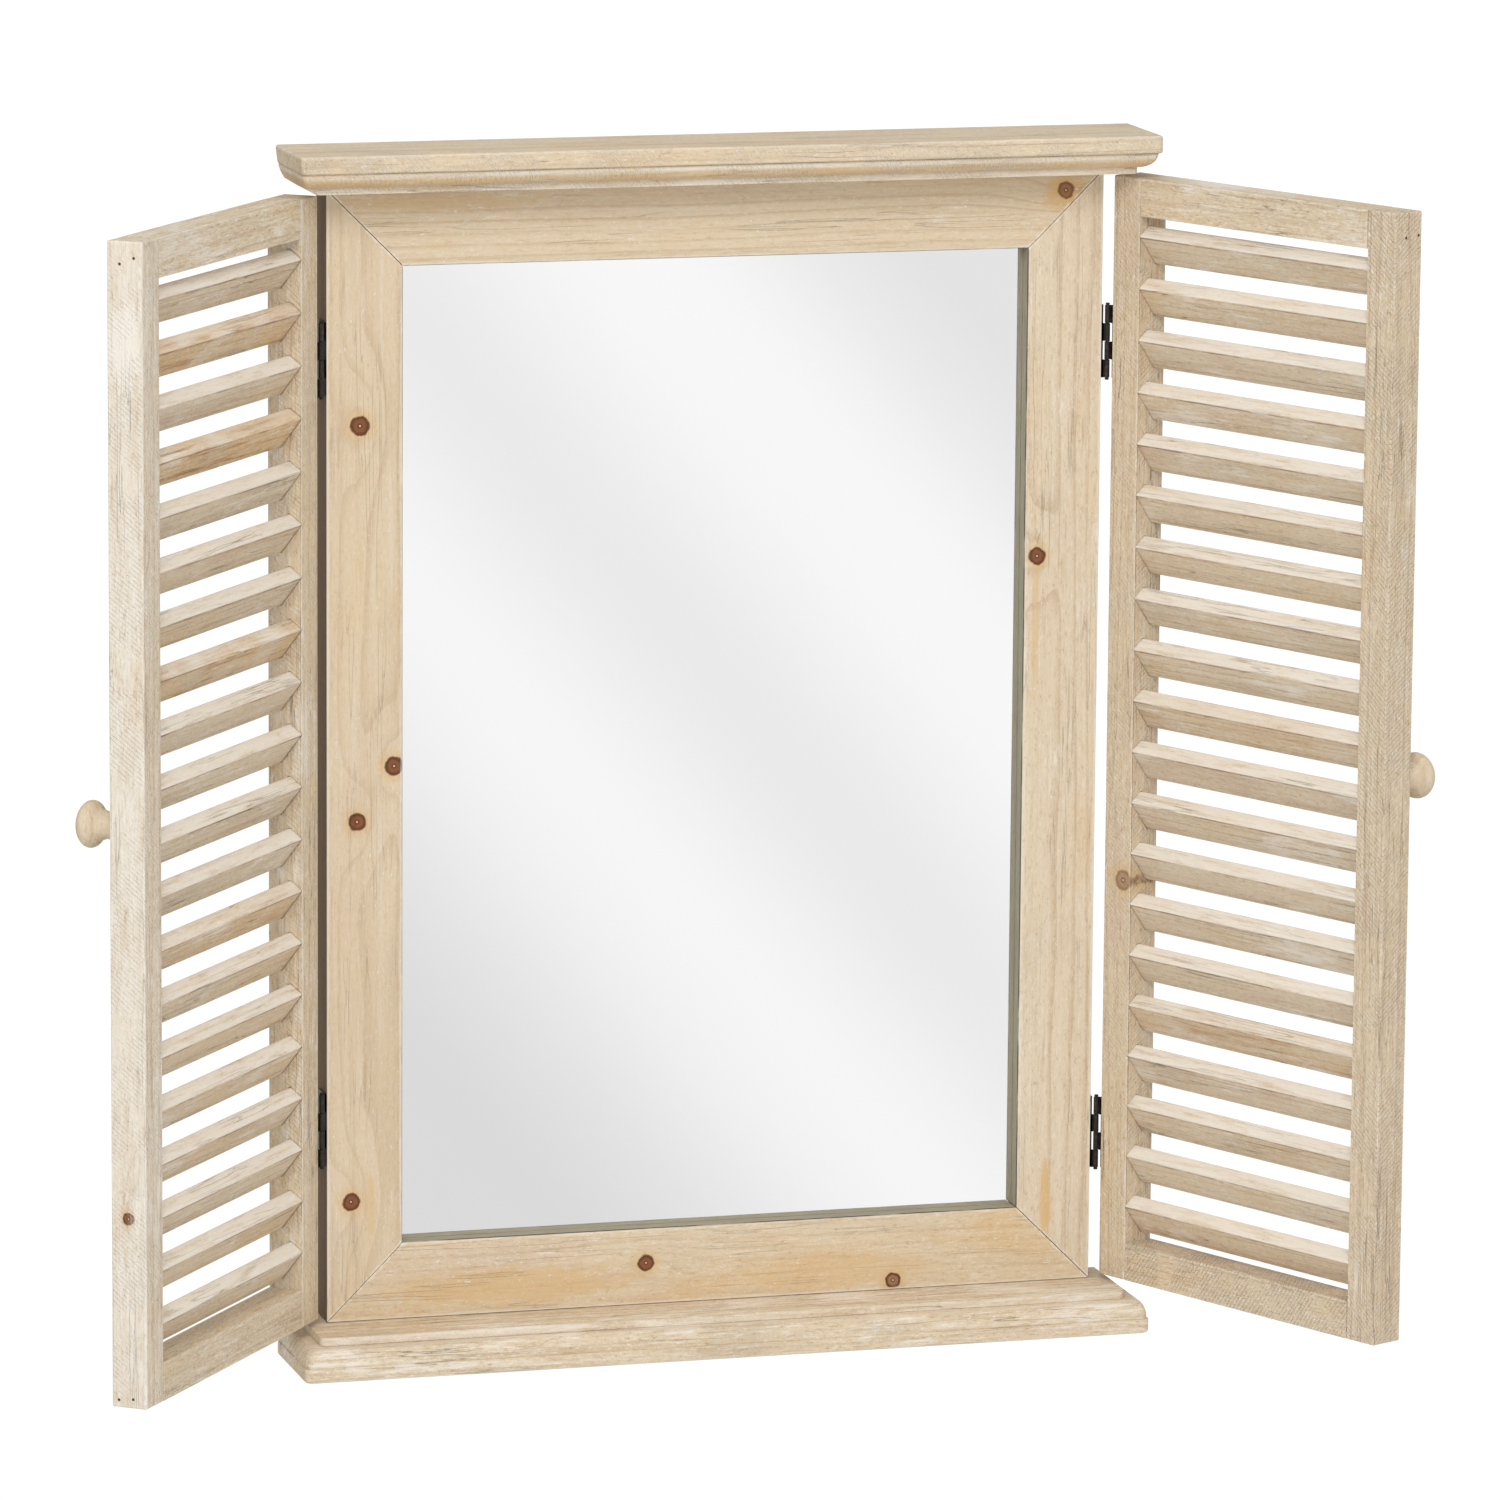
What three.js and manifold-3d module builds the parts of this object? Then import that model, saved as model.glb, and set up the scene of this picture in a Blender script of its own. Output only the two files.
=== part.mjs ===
// A wall mirror behind two louvred shutters, in limed pine.
//
// Millimetres, +Z up. The room is toward -Y and the wall is the plane Y = 0.
// The origin is where the mirror hangs: the middle of the back of the frame's top member.
// Both shutters are drawn as they stand open, turned about their hinge pins.

import * as THREE from 'three';
import { mergeVertices } from 'three/addons/utils/BufferGeometryUtils.js';
import Module from 'manifold-3d';

const wasm = await Module();
wasm.setup();

// ---------------------------------------------------------------- driving dimensions

// Mitred frame round the mirror
const frameWidth = 412;
const frameHeight = 588;
const memberWidth = 40;
const frameThickness = 23;
const bevelWidth = 4;              // worn bevel along the sight edge
const bevelDepth = 1.2;
const lipThickness = 10;           // of wood in front of the glass
const rebateWidth = 8;
const glassThickness = 3;
const backingThickness = 3;

// Cornice and sill: one board each, moulded along the front and both ends
const cornice = {
  boardHeight: 9.2,
  boardStep: 1.7,                  // from the board's edge in to the ovolo
  ovoloHeight: 7.9,
  ovoloWidth: 8.7,
  shelf: 0,                        // flat between the ovolo and the fillet
  filletHeight: 3.4,
  frontOverhang: 35,
};
const sill = {
  boardHeight: 7.8,
  boardStep: 0.8,
  ovoloHeight: 9,
  ovoloWidth: 4.8,
  shelf: 4.9,
  filletHeight: 4.5,
  frontOverhang: 42,
};
const endOverhang = 21;            // of both boards, past the frame's sides
const ovoloSegments = 6;

// Shutters
const shutterThickness = 19;
const stileWidth = 19.7;
const railHeight = 19.8;
const endGap = 2.6;                // above and below a shutter
const meetingGap = 2;              // between the two shutters when closed
const faceGap = 0.8;               // between a closed shutter and the frame
const leftOpeningDegrees = 127.6;  // from closed, as they stand
const rightOpeningDegrees = 115.5;

// Slats: fixed, housed in the stiles, high at the inner face and low at the outer one
const slatCount = 20;
const slatThickness = 8.8;
const slatTiltDegrees = 53;        // from level
const slatEdgeRadius = 2;
const slatSetback = 0.1;           // this and the two gaps are to corners before rounding
const slatTopGap = 5;              // top rail to the first slat
const slatBottomGap = 4.5;         // bottom rail to the last slat
const housingDepth = 5;            // of the slots in the stiles
const joinedSlats = 4;             // the lowest slats are one piece with their end strips
const stripThickness = 6;

// Butt hinges: four knuckles, the pin riveted into the frame's leaf
const hingeHeight = 38;
const hingeInset = {               // nearer end of the shutter to the middle of each hinge
  left: { upper: 84, lower: 99 },
  right: { upper: 87, lower: 76 },
};
const leafWidth = 14;
const leafThickness = 0.9;
const pinRadius = 0.7;
const pinClearance = 0.2;
const knuckleWall = 0.5;
const knuckleStandoff = 1.6;       // between the barrel and the wood
const knuckleCount = 4;
const pinHeadRadius = 1.1;
const pinHeadHeight = 0.8;

// Turned knobs, set in from the free edge so that they clear each other when closed
const knobRadius = 12;
const knobHeight = 22;
const knobInset = 11.25;           // free edge to the knob's middle
const headThickness = 14;
const neckRadius = 6.8;
const footRadius = 8.3;
const footHeight = 5;
const dowelRadius = 3;
const dowelLength = 10;

// Clearances and facets
const fit = 0.3;                   // at every glue line and seat
const overcut = 1;                 // how far a cutter runs past what it cuts
const barrelSegments = 12;
const knobSegments = 20;
const headSegments = 7;

// ---------------------------------------------------------------- derived places

const frameTop = memberWidth / 2;
const frameBottom = frameTop - frameHeight;
const frameMiddle = (frameTop + frameBottom) / 2;
const frameFront = -frameThickness;
const halfFrame = frameWidth / 2;

const boreRadius = pinRadius + pinClearance;
const barrelRadius = boreRadius + knuckleWall;
const hingeOffset = barrelRadius + knuckleStandoff;  // from the pin to the wood on either side
const pinDepth = frameFront - faceGap / 2;

// A shutter is built closed, in a frame whose Z axis is the hinge pin.
const shutterHeight = frameHeight - 2 * endGap;
const halfShutter = shutterHeight / 2;
const shutterWidth = (frameWidth - meetingGap) / 2;
const innerFace = -faceGap / 2;
const outerFace = innerFace - shutterThickness;
const shutterMidplane = (innerFace + outerFace) / 2;
const bayStart = hingeOffset + stileWidth;
const bayEnd = hingeOffset + shutterWidth - stileWidth;
const bayMiddle = (bayStart + bayEnd) / 2;
const knobAcross = hingeOffset + shutterWidth - knobInset;

const tilt = THREE.MathUtils.degToRad(slatTiltDegrees);
const slatRun = shutterThickness - 2 * slatSetback;
const slatWidth = (slatRun - slatThickness * Math.sin(tilt)) / Math.cos(tilt);
const slatRise = slatWidth * Math.sin(tilt) + slatThickness * Math.cos(tilt);
const slatBay = shutterHeight - 2 * railHeight;
const slatPitch = (slatBay - slatTopGap - slatBottomGap - slatRise) / (slatCount - 1);
const singleSlats = slatCount - joinedSlats;

// ---------------------------------------------------------------- materials

const pine = new THREE.MeshStandardMaterial({ color: 0xd9c6a6, roughness: 0.72, metalness: 0 });
const palePine = new THREE.MeshStandardMaterial({ color: 0xdccfb8, roughness: 0.75, metalness: 0 });
const bronze = new THREE.MeshStandardMaterial({ color: 0x2b2520, roughness: 0.42, metalness: 0.85 });
const silvered = new THREE.MeshStandardMaterial({ color: 0xe3e6e6, roughness: 0.03, metalness: 1 });
const hardboard = new THREE.MeshStandardMaterial({ color: 0x7a5f43, roughness: 0.85, metalness: 0 });

// ---------------------------------------------------------------- solids and joins

function toSolid(geometry) {
  const bare = geometry.clone();
  bare.deleteAttribute('normal');
  bare.deleteAttribute('uv');
  const merged = mergeVertices(bare, 1e-4);
  return new wasm.Manifold(new wasm.Mesh({
    numProp: 3,
    vertProperties: new Float32Array(merged.attributes.position.array),
    triVerts: new Uint32Array(merged.index.array),
  }));
}

function toGeometry(solid) {
  const mesh = solid.getMesh();
  const geometry = new THREE.BufferGeometry();
  geometry.setAttribute('position', new THREE.BufferAttribute(mesh.vertProperties, 3));
  geometry.setIndex(new THREE.BufferAttribute(mesh.triVerts, 1));
  return geometry;
}

function named(name, geometry, material) {
  const mesh = new THREE.Mesh(geometry, material.clone());
  mesh.name = name;
  return mesh;
}

// A box between two opposite corners, in whichever order they come.
function block(corner, opposite) {
  const low = new THREE.Vector3(...corner).min(new THREE.Vector3(...opposite));
  const high = new THREE.Vector3(...corner).max(new THREE.Vector3(...opposite));
  const size = high.clone().sub(low);
  const centre = low.clone().add(high).multiplyScalar(0.5);
  return new THREE.BoxGeometry(size.x, size.y, size.z).translate(centre.x, centre.y, centre.z);
}

function polygon(points) {
  return new THREE.Shape(points.map(([across, up]) => new THREE.Vector2(across, up)));
}

// A convex outline with an arc at each corner, its corners listed anticlockwise.
function roundedPolygon(corners) {
  const shape = new THREE.Shape();
  corners.forEach(({ point, radius }, i) => {
    const before = corners[(i + corners.length - 1) % corners.length].point;
    const after = corners[(i + 1) % corners.length].point;
    const toBefore = before.clone().sub(point).normalize();
    const toAfter = after.clone().sub(point).normalize();
    const half = Math.acos(toBefore.dot(toAfter)) / 2;
    const inward = toBefore.clone().add(toAfter).normalize();
    const centre = point.clone().addScaledVector(inward, radius / Math.sin(half));
    const start = point.clone().addScaledVector(toBefore, radius / Math.tan(half)).sub(centre);
    const end = point.clone().addScaledVector(toAfter, radius / Math.tan(half)).sub(centre);
    shape.absarc(centre.x, centre.y, radius, start.angle(), end.angle());
  });
  return shape;
}

function extrude(shape, depth) {
  return new THREE.ExtrudeGeometry(shape, { depth, bevelEnabled: false, curveSegments: 1 });
}

// A section drawn in Y (across) and Z (up), run from one X to another.
function alongX(shape, fromX, toX) {
  const axes = new THREE.Matrix4().makeBasis(
    new THREE.Vector3(0, 1, 0), new THREE.Vector3(0, 0, 1), new THREE.Vector3(1, 0, 0));
  return extrude(shape, toX - fromX).applyMatrix4(axes).translate(fromX, 0, 0);
}

// A section drawn in X (across) and Z (up), run from one Y to another.
function alongY(shape, fromY, toY) {
  return extrude(shape, toY - fromY).rotateX(Math.PI / 2).translate(0, toY, 0);
}

// A round bar standing along Z.
function roundBar(radius, fromZ, toZ) {
  return new THREE.CylinderGeometry(radius, radius, toZ - fromZ, barrelSegments)
    .rotateX(Math.PI / 2)
    .translate(0, 0, (fromZ + toZ) / 2);
}

// ---------------------------------------------------------------- mitred frame

// Section of a member lying along X, with its outer edge at Z = 0 and its sight edge below.
function memberSection() {
  const shoulder = frameFront + lipThickness;
  const rebateEdge = rebateWidth - memberWidth;
  return polygon([
    [0, 0],
    [frameFront, 0],
    [frameFront, bevelWidth - memberWidth],
    [frameFront + bevelDepth, -memberWidth],
    [shoulder, -memberWidth],
    [shoulder, rebateEdge],
    [0, rebateEdge],
  ]);
}

// The member is mitred by a wedge that narrows toward the sight edge.
function mitredMember(length) {
  const half = length / 2;
  const trim = (fit / 2) * Math.SQRT2;               // leaves the gap square to the mitre
  const reach = (up) => half - trim + up;            // half the wedge's width at each height
  const low = -memberWidth - overcut;
  const wedge = polygon([
    [-reach(low), low],
    [reach(low), low],
    [reach(overcut), overcut],
    [-reach(overcut), overcut],
  ]);
  const bar = toSolid(alongX(memberSection(), -half, half));
  return toGeometry(bar.intersect(toSolid(alongY(wedge, frameFront - overcut, overcut))));
}

function buildFrame() {
  const group = new THREE.Group();
  const members = [
    { name: 'frame_top_member', length: frameWidth, x: 0, z: frameTop, turn: 0 },
    { name: 'frame_bottom_member', length: frameWidth, x: 0, z: frameBottom, turn: Math.PI },
    { name: 'frame_left_member', length: frameHeight, x: -halfFrame, z: frameMiddle, turn: -Math.PI / 2 },
    { name: 'frame_right_member', length: frameHeight, x: halfFrame, z: frameMiddle, turn: Math.PI / 2 },
  ];
  for (const { name, length, x, z, turn } of members) {
    const member = named(name, mitredMember(length), pine);
    member.position.set(x, 0, z);
    member.rotation.y = turn;
    group.add(member);
  }
  return group;
}

// A pane that fills the rebate, its front a given distance behind the lip.
function rebatePane(behindLip, thickness) {
  const halfWidth = halfFrame - memberWidth + rebateWidth - fit;
  const halfHeight = frameHeight / 2 - memberWidth + rebateWidth - fit;
  const front = frameFront + lipThickness + behindLip;
  return block(
    [-halfWidth, front, frameMiddle - halfHeight],
    [halfWidth, front + thickness, frameMiddle + halfHeight]);
}

// ---------------------------------------------------------------- cornice and sill

// How far a moulding stands out at each height above its fillet's foot.
function mouldingEdge(profile, overhang) {
  const ovoloFoot = overhang - profile.boardStep - profile.ovoloWidth;
  const filletOut = ovoloFoot - profile.shelf;
  const boardFoot = profile.filletHeight + profile.ovoloHeight;
  const edge = [
    { out: filletOut, up: 0 },
    { out: filletOut, up: profile.filletHeight },
  ];
  const first = profile.shelf > 0 ? 0 : 1;
  for (let i = first; i <= ovoloSegments; i += 1) {
    const angle = (Math.PI / 2) * (i / ovoloSegments);
    edge.push({
      out: ovoloFoot + profile.ovoloWidth * Math.sin(angle),
      up: profile.filletHeight + profile.ovoloHeight * (1 - Math.cos(angle)),
    });
  }
  edge.push({ out: overhang, up: boardFoot });
  edge.push({ out: overhang, up: boardFoot + profile.boardHeight });
  return edge;
}

// The front moulding run along X, met by the same moulding on both ends.
// The cornice spreads upward (rise = 1) and the sill downward (rise = -1) from its seat.
function mouldedBoard(profile, seat, rise) {
  const level = (up) => seat + rise * (fit + up);
  const front = mouldingEdge(profile, profile.frontOverhang);
  const end = mouldingEdge(profile, endOverhang).map(({ out, up }) => [halfFrame + out, level(up)]);
  const top = front[front.length - 1].up;
  const reach = halfFrame + endOverhang + overcut;
  const run = polygon([
    [0, level(0)],
    ...front.map(({ out, up }) => [frameFront - out, level(up)]),
    [0, level(top)],
  ]);
  const across = polygon([...end, ...end.map(([x, z]) => [-x, z]).reverse()]);
  const fromY = frameFront - profile.frontOverhang - overcut;
  return toGeometry(toSolid(alongX(run, -reach, reach)).intersect(toSolid(alongY(across, fromY, overcut))));
}

// ---------------------------------------------------------------- hinges
// A leaf is built about its pin. The wood is toWood (1 or -1) along X from the pin,
// and the plate lies on it, reaching toLeaf (1 or -1) along Y.

const plateNear = hingeOffset - fit - leafThickness;
const plateFar = hingeOffset - fit;
const neckDepth = barrelRadius - leafThickness;
const plateStart = barrelRadius + fit;

// One knuckle with the bent neck that joins it to the plate.
function knuckle(toWood, toLeaf, fromZ, toZ) {
  const neck = block([0, toLeaf * neckDepth, fromZ], [toWood * plateFar, toLeaf * barrelRadius, toZ]);
  const bend = block(
    [toWood * plateNear, toLeaf * neckDepth, fromZ],
    [toWood * plateFar, toLeaf * (plateStart + leafThickness), toZ]);
  return toSolid(roundBar(barrelRadius, fromZ, toZ)).add(toSolid(neck)).add(toSolid(bend));
}

// The pin with a domed head at each end, just clear of the knuckles.
function hingePin() {
  const headFoot = hingeHeight / 2 + fit;
  const upper = [
    [pinRadius, headFoot],
    [pinHeadRadius, headFoot],
    [pinHeadRadius * 0.75, headFoot + pinHeadHeight * 0.75],
    [0, headFoot + pinHeadHeight],
  ];
  const lower = upper.map(([radius, z]) => [radius, -z]).reverse();
  const profile = [...lower, ...upper].map(([radius, z]) => new THREE.Vector2(radius, z));
  return new THREE.LatheGeometry(profile, barrelSegments).rotateX(Math.PI / 2);
}

// Knuckles are counted from the top: a leaf has every second one, beginning with `first`.
function hingeLeaf(toWood, toLeaf, first) {
  const half = hingeHeight / 2;
  const share = hingeHeight / knuckleCount;
  const plate = block(
    [toWood * plateNear, toLeaf * plateStart, -half],
    [toWood * plateFar, toLeaf * (plateStart + leafWidth), half]);
  let leaf = toSolid(plate);
  for (let i = first; i < knuckleCount; i += 2) {
    const top = half - i * share - (i > 0 ? fit / 2 : 0);
    const bottom = half - (i + 1) * share + (i < knuckleCount - 1 ? fit / 2 : 0);
    leaf = leaf.add(knuckle(toWood, toLeaf, bottom, top));
  }
  return leaf;
}

function hingePlaces(side) {
  return [
    { place: 'upper', height: halfShutter - hingeInset[side].upper },
    { place: 'lower', height: hingeInset[side].lower - halfShutter },
  ];
}

function frameLeaf(toWood, first) {
  return toGeometry(hingeLeaf(toWood, 1, first).add(toSolid(hingePin())));
}

function shutterLeaf(toWood, first) {
  const half = hingeHeight / 2;
  const bore = roundBar(boreRadius, -half - overcut, half + overcut);
  return toGeometry(hingeLeaf(toWood, -1, first).subtract(toSolid(bore)));
}

// ---------------------------------------------------------------- shutters
// inward is 1 on the left shutter, which reaches toward +X from its pin, and -1 on the right.

// A slat's section, grown by a clearance on every side when it is the slot for one.
// It is drawn in Y and Z, with the slat's uppermost corner (before rounding) at Z = 0.
function slatSection(clearance) {
  const down = new THREE.Vector2(-Math.cos(tilt), -Math.sin(tilt));
  const up = new THREE.Vector2(-Math.sin(tilt), Math.cos(tilt));
  const centre = new THREE.Vector2(shutterMidplane, -slatRise / 2);
  const corner = (along, across) => ({
    point: centre.clone()
      .addScaledVector(down, along * (slatWidth / 2 + clearance))
      .addScaledVector(up, across * (slatThickness / 2 + clearance)),
    radius: slatEdgeRadius + clearance,
  });
  return roundedPolygon([corner(-1, 1), corner(1, 1), corner(1, -1), corner(-1, -1)]);
}

function slatHeight(index) {
  return halfShutter - railHeight - slatTopGap - index * slatPitch;
}

const slatReach = (bayEnd - bayStart) / 2 + housingDepth - fit;

function slatGeometry() {
  return alongX(slatSection(0), -slatReach, slatReach);
}

// The end strips of the joined slats, from the highest of them to the lowest.
const stripTop = slatHeight(singleSlats);
const stripBottom = slatHeight(slatCount - 1) - slatRise;

function joinedSlatsGeometry() {
  const halfBay = (bayEnd - bayStart) / 2;
  const halfStrip = stripThickness / 2;
  let stack = toSolid(block(
    [halfBay, shutterMidplane - halfStrip, stripBottom],
    [slatReach, shutterMidplane + halfStrip, stripTop]));
  stack = stack.add(toSolid(block(
    [-halfBay, shutterMidplane - halfStrip, stripBottom],
    [-slatReach, shutterMidplane + halfStrip, stripTop])));
  for (let i = singleSlats; i < slatCount; i += 1) {
    stack = stack.add(toSolid(slatGeometry().translate(0, 0, slatHeight(i))));
  }
  return toGeometry(stack);
}

// A stile between two distances from the pin, slotted from its bay edge.
function stile(inward, near, far, bayEdge) {
  const slotFloor = bayEdge + (bayEdge === near ? housingDepth : -housingDepth);
  const slotMouth = bayEdge + (bayEdge === near ? -overcut : overcut);
  const ends = [inward * slotFloor, inward * slotMouth].sort((a, b) => a - b);
  const slot = alongX(slatSection(fit), ...ends);
  const halfGroove = stripThickness / 2 + fit;
  let solid = toSolid(block([inward * near, outerFace, -halfShutter], [inward * far, innerFace, halfShutter]));
  for (let i = 0; i < slatCount; i += 1) {
    solid = solid.subtract(toSolid(slot.clone().translate(0, 0, slatHeight(i))));
  }
  return solid.subtract(toSolid(block(
    [ends[0], shutterMidplane - halfGroove, stripBottom - fit],
    [ends[1], shutterMidplane + halfGroove, stripTop + fit])));
}

function rail(inward, fromZ, toZ) {
  return block([inward * (bayStart + fit), outerFace, fromZ], [inward * (bayEnd - fit), innerFace, toZ]);
}

// A turned mushroom knob with a flared foot, standing along -Y from Y = 0, and its dowel.
function knobGeometry() {
  const headHalf = headThickness / 2;
  const headMiddle = knobHeight - headHalf;
  const firstAngle = -Math.acos(neckRadius / knobRadius);
  const points = [
    [0, -dowelLength],
    [dowelRadius, -dowelLength],
    [dowelRadius, fit],
    [footRadius, fit],
    [(footRadius + neckRadius) / 2, footHeight * 0.4],
    [neckRadius, footHeight],
  ];
  for (let i = 0; i < headSegments; i += 1) {
    const angle = firstAngle + (Math.PI / 2 - firstAngle) * (i / headSegments);
    points.push([knobRadius * Math.cos(angle), headMiddle + headHalf * Math.sin(angle)]);
  }
  points.push([0, knobHeight]);
  const profile = points.map(([radius, out]) => new THREE.Vector2(radius, out));
  return new THREE.LatheGeometry(profile, knobSegments).rotateX(Math.PI);
}

function knobBore(inward) {
  const radius = dowelRadius + fit;
  const length = dowelLength + fit + overcut;
  return toSolid(new THREE.CylinderGeometry(radius, radius, length, knobSegments)
    .translate(inward * knobAcross, outerFace - overcut + length / 2, 0));
}

function buildShutter(side, inward, opening, firstKnuckle) {
  const group = new THREE.Group();
  const add = (name, geometry, material, x = 0, y = 0, z = 0) => {
    const mesh = named(`${side}_shutter_${name}`, geometry, material);
    mesh.position.set(x, y, z);
    group.add(mesh);
  };

  const hingeStile = stile(inward, hingeOffset, bayStart, bayStart);
  const freeStile = stile(inward, bayEnd, hingeOffset + shutterWidth, bayEnd);
  add('hinge_stile', toGeometry(hingeStile), pine);
  add('free_stile', toGeometry(freeStile.subtract(knobBore(inward))), pine);
  add('top_rail', rail(inward, halfShutter - railHeight, halfShutter), pine);
  add('bottom_rail', rail(inward, -halfShutter, -halfShutter + railHeight), pine);
  for (let i = 0; i < singleSlats; i += 1) {
    const number = String(i + 1).padStart(2, '0');
    add(`slat_${number}`, slatGeometry(), palePine, inward * bayMiddle, 0, slatHeight(i));
  }
  add('lower_slats', joinedSlatsGeometry(), palePine, inward * bayMiddle);
  add('knob', knobGeometry(), pine, inward * knobAcross, outerFace);
  for (const { place, height } of hingePlaces(side)) {
    add(`${place}_hinge_leaf`, shutterLeaf(inward, firstKnuckle), bronze, 0, 0, height);
  }

  group.position.set(-inward * (halfFrame + hingeOffset), pinDepth, frameMiddle);
  group.rotation.z = -inward * THREE.MathUtils.degToRad(opening);
  return group;
}

function buildFrameLeaves(side, inward, firstKnuckle) {
  const group = new THREE.Group();
  for (const { place, height } of hingePlaces(side)) {
    const leaf = named(`${side}_frame_${place}_hinge_leaf`, frameLeaf(inward, firstKnuckle), bronze);
    leaf.position.z = height;
    group.add(leaf);
  }
  group.position.set(-inward * (halfFrame + hingeOffset), pinDepth, frameMiddle);
  return group;
}

// ---------------------------------------------------------------- the whole mirror
// The hinges are all alike, so the topmost knuckle is on whichever leaf lies to the right:
// the frame's on the left side and the shutter's on the right side.

const mirror = new THREE.Group();
mirror.add(buildFrame());
mirror.add(named('mirror_glass', rebatePane(fit, glassThickness), silvered));
mirror.add(named('backing_board', rebatePane(glassThickness + 2 * fit, backingThickness), hardboard));
mirror.add(named('cornice', mouldedBoard(cornice, frameTop, 1), pine));
mirror.add(named('sill', mouldedBoard(sill, frameBottom, -1), pine));
mirror.add(buildFrameLeaves('left', 1, 0));
mirror.add(buildShutter('left', 1, leftOpeningDegrees, 1));
mirror.add(buildFrameLeaves('right', -1, 1));
mirror.add(buildShutter('right', -1, rightOpeningDegrees, 0));

export default mirror;
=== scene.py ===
# %% [markdown]
# # A louvred shutter mirror in limed pine
# A mitred frame holds a mirror under a moulded cornice and over a moulded sill, and two louvred
# shutters hang on butt hinges at its sides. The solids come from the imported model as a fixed
# frame, in metres: +Z is up, the wall is the plane Y = 0 and the room is toward -Y.

# %% Load the frame
import math

import bmesh
import bpy
from mathutils import Matrix, Vector


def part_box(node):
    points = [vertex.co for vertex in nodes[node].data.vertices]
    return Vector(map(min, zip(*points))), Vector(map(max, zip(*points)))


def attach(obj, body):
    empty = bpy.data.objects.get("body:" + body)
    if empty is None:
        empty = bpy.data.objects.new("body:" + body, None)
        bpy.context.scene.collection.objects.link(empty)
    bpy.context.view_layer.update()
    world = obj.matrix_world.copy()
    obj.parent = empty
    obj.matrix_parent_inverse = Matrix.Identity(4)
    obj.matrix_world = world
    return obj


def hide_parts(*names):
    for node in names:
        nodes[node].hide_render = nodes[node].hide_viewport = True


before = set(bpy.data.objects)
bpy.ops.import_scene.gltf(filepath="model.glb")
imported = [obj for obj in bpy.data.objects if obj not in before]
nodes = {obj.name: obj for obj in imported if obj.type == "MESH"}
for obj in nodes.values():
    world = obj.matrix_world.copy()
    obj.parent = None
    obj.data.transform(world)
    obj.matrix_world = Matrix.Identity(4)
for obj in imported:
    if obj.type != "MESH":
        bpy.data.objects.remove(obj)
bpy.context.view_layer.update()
mm = 0.001

# %% [markdown]
# ## Where things are
# The sizes below repeat the ones that the solids were drawn with. A shutter is easiest to build
# closed, about its own hinge pin, so every shutter piece is drawn there and then turned open.

# %% Sizes of the frame and the shutters
frame_width = 412 * mm
frame_height = 588 * mm
member_width = 40 * mm
frame_thickness = 23 * mm
shutter_thickness = 19 * mm
stile_width = 19.7 * mm
rail_height = 19.8 * mm
end_gap = 2.6 * mm
meeting_gap = 2 * mm
face_gap = 0.8 * mm
hinge_offset = 3 * mm
joint_gap = 0.3 * mm

frame_middle = member_width / 2 - frame_height / 2
pin_depth = -frame_thickness - face_gap / 2
shutter_height = frame_height - 2 * end_gap
shutter_width = (frame_width - meeting_gap) / 2
inner_face = -face_gap / 2
outer_face = inner_face - shutter_thickness
shutter_midplane = (inner_face + outer_face) / 2
bay_start = hinge_offset + stile_width
bay_end = hinge_offset + shutter_width - stile_width
bay_middle = (bay_start + bay_end) / 2

# The left shutter reaches toward +X from its pin when closed, and the right one toward -X.
inward = {"left": 1, "right": -1}
opening = {"left": math.radians(127.6), "right": math.radians(115.5)}


def move(x, y, z):
    return Matrix.Translation(Vector((x, y, z)))


def hinge_pin(side):
    """A move from the origin to the middle of the hinge's axis."""
    return move(-inward[side] * (frame_width / 2 + hinge_offset), pin_depth, frame_middle)


def shutter_turn(side):
    return -inward[side] * opening[side]


def shutter_place(side):
    return hinge_pin(side) @ Matrix.Rotation(shutter_turn(side), 4, "Z")


def on_shutter(side, across, depth, up):
    """The move to a point of the open shutter; across is measured from the pin."""
    return shutter_place(side) @ move(inward[side] * across, depth, up)


print("shutter:", round(shutter_width / mm, 1), "x", round(shutter_height / mm, 1), "mm")

# %% [markdown]
# ## The camera
# The photograph was taken from the left and from a little above, with a long lens: the far edges
# are hardly smaller than the near ones. The place and angle come from a fit of the frame's
# corners to the photograph. A long lens keeps the lens shift at zero.

# %% Camera
camera_position = Vector((-1.2735, -4.6027, 0.5944))
camera_heading = math.radians(15.7532)     # clockwise from +Y
camera_dip = math.radians(10.3781)         # below level
camera_roll = math.radians(0.4299)
lens_mm = 224.6
sensor_mm = 36

# An unturned camera looks down, along -Z. Its own roll comes first and its heading last.
camera_turn = (Matrix.Rotation(-camera_heading, 4, "Z")
               @ Matrix.Rotation(math.pi / 2 - camera_dip, 4, "X")
               @ Matrix.Rotation(camera_roll, 4, "Z"))
camera_data = bpy.data.cameras.new("camera")
camera_data.lens = lens_mm
camera_data.sensor_width = sensor_mm
camera_data.clip_end = 200
camera = bpy.data.objects.new("camera", camera_data)
camera.matrix_world = Matrix.Translation(camera_position) @ camera_turn
bpy.context.scene.collection.objects.link(camera)
bpy.context.scene.camera = camera
print("camera", round(camera_position.length, 2), "m from the origin")

# %% [markdown]
# ## Shader groups for the wood
# Pine shows three things at once: growth rings, cut by each face at its own angle; fine fibres
# that run with the grain; and broad changes of tone. A solid pattern gives all faces of a board
# the rings of one piece of timber. Each group takes coordinates in metres with the grain
# along X and gives out masks, which each material colours in its own way.

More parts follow.
